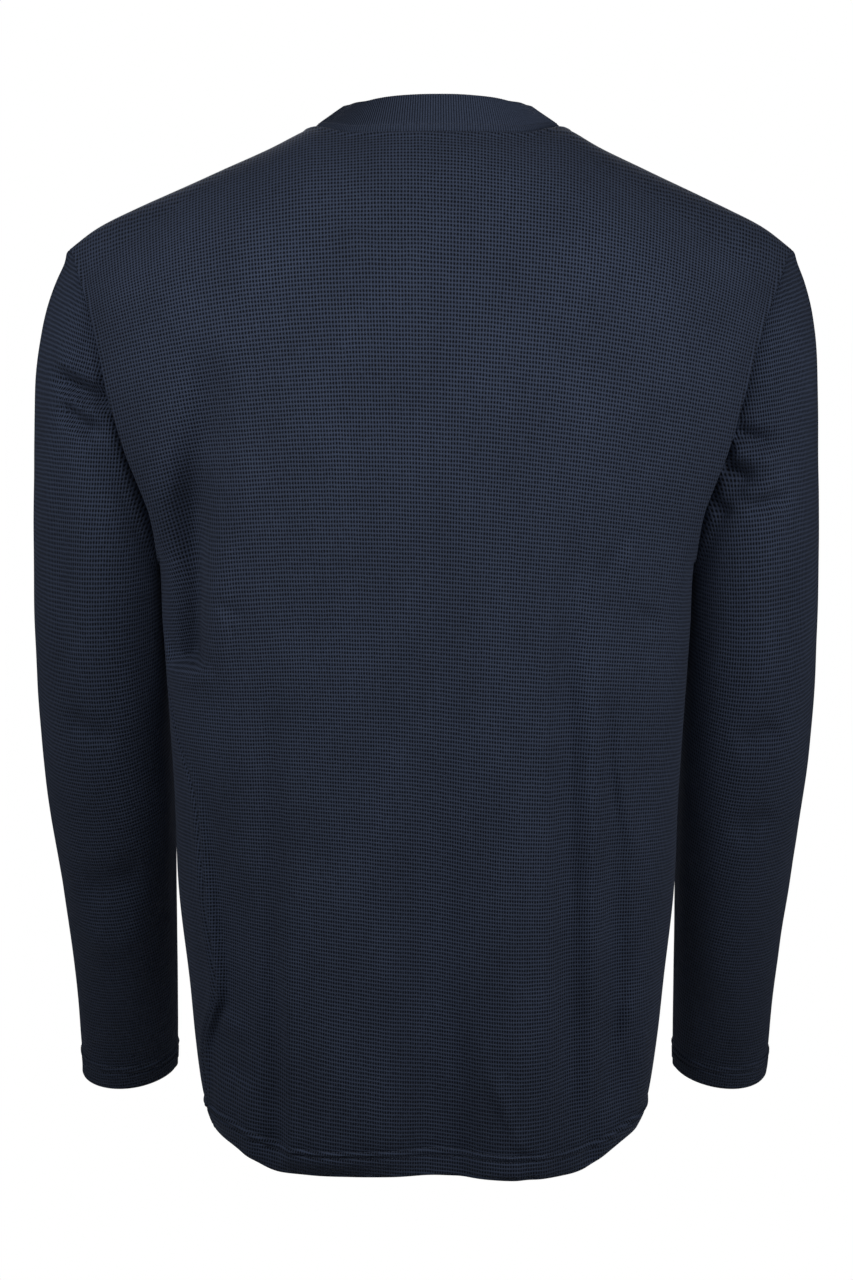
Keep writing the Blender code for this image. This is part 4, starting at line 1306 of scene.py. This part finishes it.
def rib_knit(name):
    """1x1 rib of the same yarn: smooth raised ribs, each a column of small stitches, with the shade of
    the narrow valleys between them painted dark into the colour."""
    tree, material = new_material(name)
    knit = put(tree, "UVMap", {}, uv_map="knit")
    turned = put(tree, "VectorMath", {0: knit, "Scale": 2 * math.pi}, operation="SCALE")
    across = put(tree, "SeparateXYZ", {0: turned}, out="X")
    up = put(tree, "SeparateXYZ", {0: turned}, out="Y")
    # Painted shade: a mask that darkens the valleys between the ribs.
    valley_shade = put(tree, "Math", {0: across}, operation="COSINE")
    valley_shade = put(tree, "MapRange", {"Value": valley_shade, "From Min": 0.0, "From Max": 1.0})
    slant = put(tree, "Math", {0: across}, operation="SINE")
    slant = put(tree, "Math", {0: slant}, operation="ABSOLUTE")
    stitch = put(tree, "Math", {0: slant, 1: STITCH_SLANT, 2: up}, operation="MULTIPLY_ADD")
    stitch = put(tree, "Math", {0: stitch}, operation="COSINE")
    yarn = put(tree, "TexNoise", {
        "Vector": knit, "Scale": RIB_YARN_PATCHES, "Detail": 4.0, "Roughness": 0.7,
    })
    shade = put(tree, "Math", {0: stitch, 1: STITCH_SHADE, 2: yarn}, operation="MULTIPLY_ADD")
    light = varied(tree, RIB_RAISED, (0.80, 1.16), shade, (0.2, 0.8))
    # The valleys are mixed towards the painted shade colour.
    colour = put(tree, "Mix", {0: valley_shade, 4: light, 5: linear(RIB_VALLEY_SHADE)[:3]}, 1, data_type="VECTOR")
    raised = put(tree, "Math", {0: stitch, 1: STITCH_RELIEF, 2: yarn}, operation="MULTIPLY_ADD")
    bump = put(tree, "Bump", {"Height": raised, "Distance": YARN_RELIEF})
    surfaced(tree, {"Base Color": colour, "Normal": bump, "Roughness": 0.9, **COTTON})
    return material


rib = np.tile(RIB_PROFILE, RIBS)[None, :] * RIB_HEIGHT
pressed = RIB_PRESSED + (1 - RIB_PRESSED) * eased((band_climb - COVERSTITCH_HEIGHT) / PRESSED_STEP)
band_lift = rib * pressed[:, None]
band_lift -= SEAM_DIP * bell(band_climb / BAND_DIP_WIDTH)[:, None]
band_swell = swelling(band_base, BAND_SWELL_SIZE, 3.7) * BAND_SWELL
band_lift += band_swell * eased(band_climb / BAND_CALM)[:, None]
band_skin = band_base + band_out * band_lift[..., None]
band_skin[0] += unit(band_base[1] - band_base[0]) * SEAM_GAP / 2
band_inside = band_skin - band_out * BAND_CLOTH
band_cells = np.stack(np.broadcast_arrays(
    np.arange(RIBS * len(RIB_PROFILE), -1, -1)[None, :] / len(RIB_PROFILE),
    band_climb[::-1, None] / RIB_STITCH,
), axis=-1)
neckband = cloth_piece("neckband_rib", band_skin[::-1, ::-1], band_inside[::-1, ::-1], band_cells,
                       rib_knit("rib_knit_cotton_navy"), ring=True)

# The coverstitching has one row on each side of the neck seam.
band_line = line_along(band_skin, band_out, run_lengths(band_base, 0), COVERSTITCH_HEIGHT)
neck_lines = []
for skin, out, base in ((back_skin, back_out, back_base), (front_skin, front_out, front_base)):
    climb = run_lengths(base, 0)
    from_neck = (climb[-1] - climb)[::-1]
    neck_lines.append(line_along(skin[::-1], out[::-1], from_neck, NECK_STITCH_BELOW))
neck_stitches = stitching("neck_stitches", [*neck_lines, closed(band_line)], NECK_STITCH)
sewn(neckband, "neckband", neck_stitches)


# ==== Floor, light and camera ====================================================================
# A pale studio: a plain painted floor well below the top, four softboxes behind it, at its sides
# and before it, a fifth that lights the floor alone, and a pale surround.
FLOOR_Z = -1.5
FLOOR_RADIUS = 2.2
PAINT_PATCHES = 6.0  # to a metre
ROLLER_GRAIN = 400.0  # stipples to a metre


def painted_floor(name):
    """Matt pale paint on a smooth floor, with the faint unevenness of a roller."""
    tree, material = new_material(name)
    place = put(tree, "TexCoord", {}, out="Object")
    mottle = put(tree, "TexNoise", {"Vector": place, "Scale": PAINT_PATCHES, "Detail": 3.0})
    grain = put(tree, "TexNoise", {"Vector": place, "Scale": ROLLER_GRAIN, "Detail": 2.0})
    surfaced(tree, {
        "Base Color": varied(tree, "EDEDEC", (0.97, 1.03), mottle),
        "Normal": put(tree, "Bump", {"Height": grain, "Distance": 0.0002}),
        "Roughness": 0.85,
    })
    return material


bpy.ops.mesh.primitive_circle_add(
    vertices=96, radius=FLOOR_RADIUS, fill_type="NGON", location=(0, 0, FLOOR_Z),
)
floor = bpy.context.object
floor.name = "studio_floor"
floor.visible_diffuse = False  # so that it throws no light up at the cloth
floor.data.materials.append(painted_floor("painted_studio_floor_pale"))

SOFTBOXES = (
    # name, place, aimed at, size, watts
    ("softbox_behind", (0.0, 0.80, 0.15), (0.0, 0.10, -0.10), (0.7, 0.5), 2.15),
    ("softbox_left", (0.76, 0.66, 0.08), (0.0, 0.10, -0.14), (0.3, 0.5), 2.5),
    ("softbox_right", (-0.76, 0.66, -0.18), (0.0, 0.10, -0.24), (0.3, 0.5), 2.35),
    ("softbox_before", (0.0, -1.00, 0.25), (0.0, -0.10, -0.20), (0.8, 0.6), 6.0),
    ("softbox_floor", (0.0, 0.0, -0.90), (0.0, 0.0, FLOOR_Z), (4.6, 4.6), 54.0),
)
for name, place, target, size, watts in SOFTBOXES:
    data = bpy.data.lights.new(name, "AREA")
    data.shape = "RECTANGLE"
    data.size, data.size_y = size
    data.energy = watts
    light = placed(name, data, place)
    light.visible_camera = False
    light.rotation_euler = (Vector(target) - Vector(place)).to_track_quat("-Z", "Y").to_euler()

# The surround looks white and gives the cloth only a little light from all sides.
world = bpy.data.worlds.new("pale_surround")
world.use_nodes = True
world.node_tree.nodes.clear()
seen = put(world.node_tree, "LightPath", {}, out="Is Camera Ray")
strength = put(world.node_tree, "MapRange", {"Value": seen, "To Min": 0.02, "To Max": 1.0})
surround = put(world.node_tree, "Background", {"Color": (1.0, 1.0, 1.0, 1.0), "Strength": strength})
put(world.node_tree, "OutputWorld", {"Surface": surround})
bpy.context.scene.world = world
bpy.context.scene.view_settings.view_transform = "Standard"

CAMERA_DIP = 4.87  # degrees that it looks down
camera_data = bpy.data.cameras.new("camera_behind")
camera_data.lens = 97.1
camera_data.sensor_width = 36.0
camera = placed("camera_behind", camera_data, (0.0, 2.50, -0.156))
camera.rotation_euler = (math.radians(90 - CAMERA_DIP), 0.0, math.pi)
bpy.context.scene.camera = camera
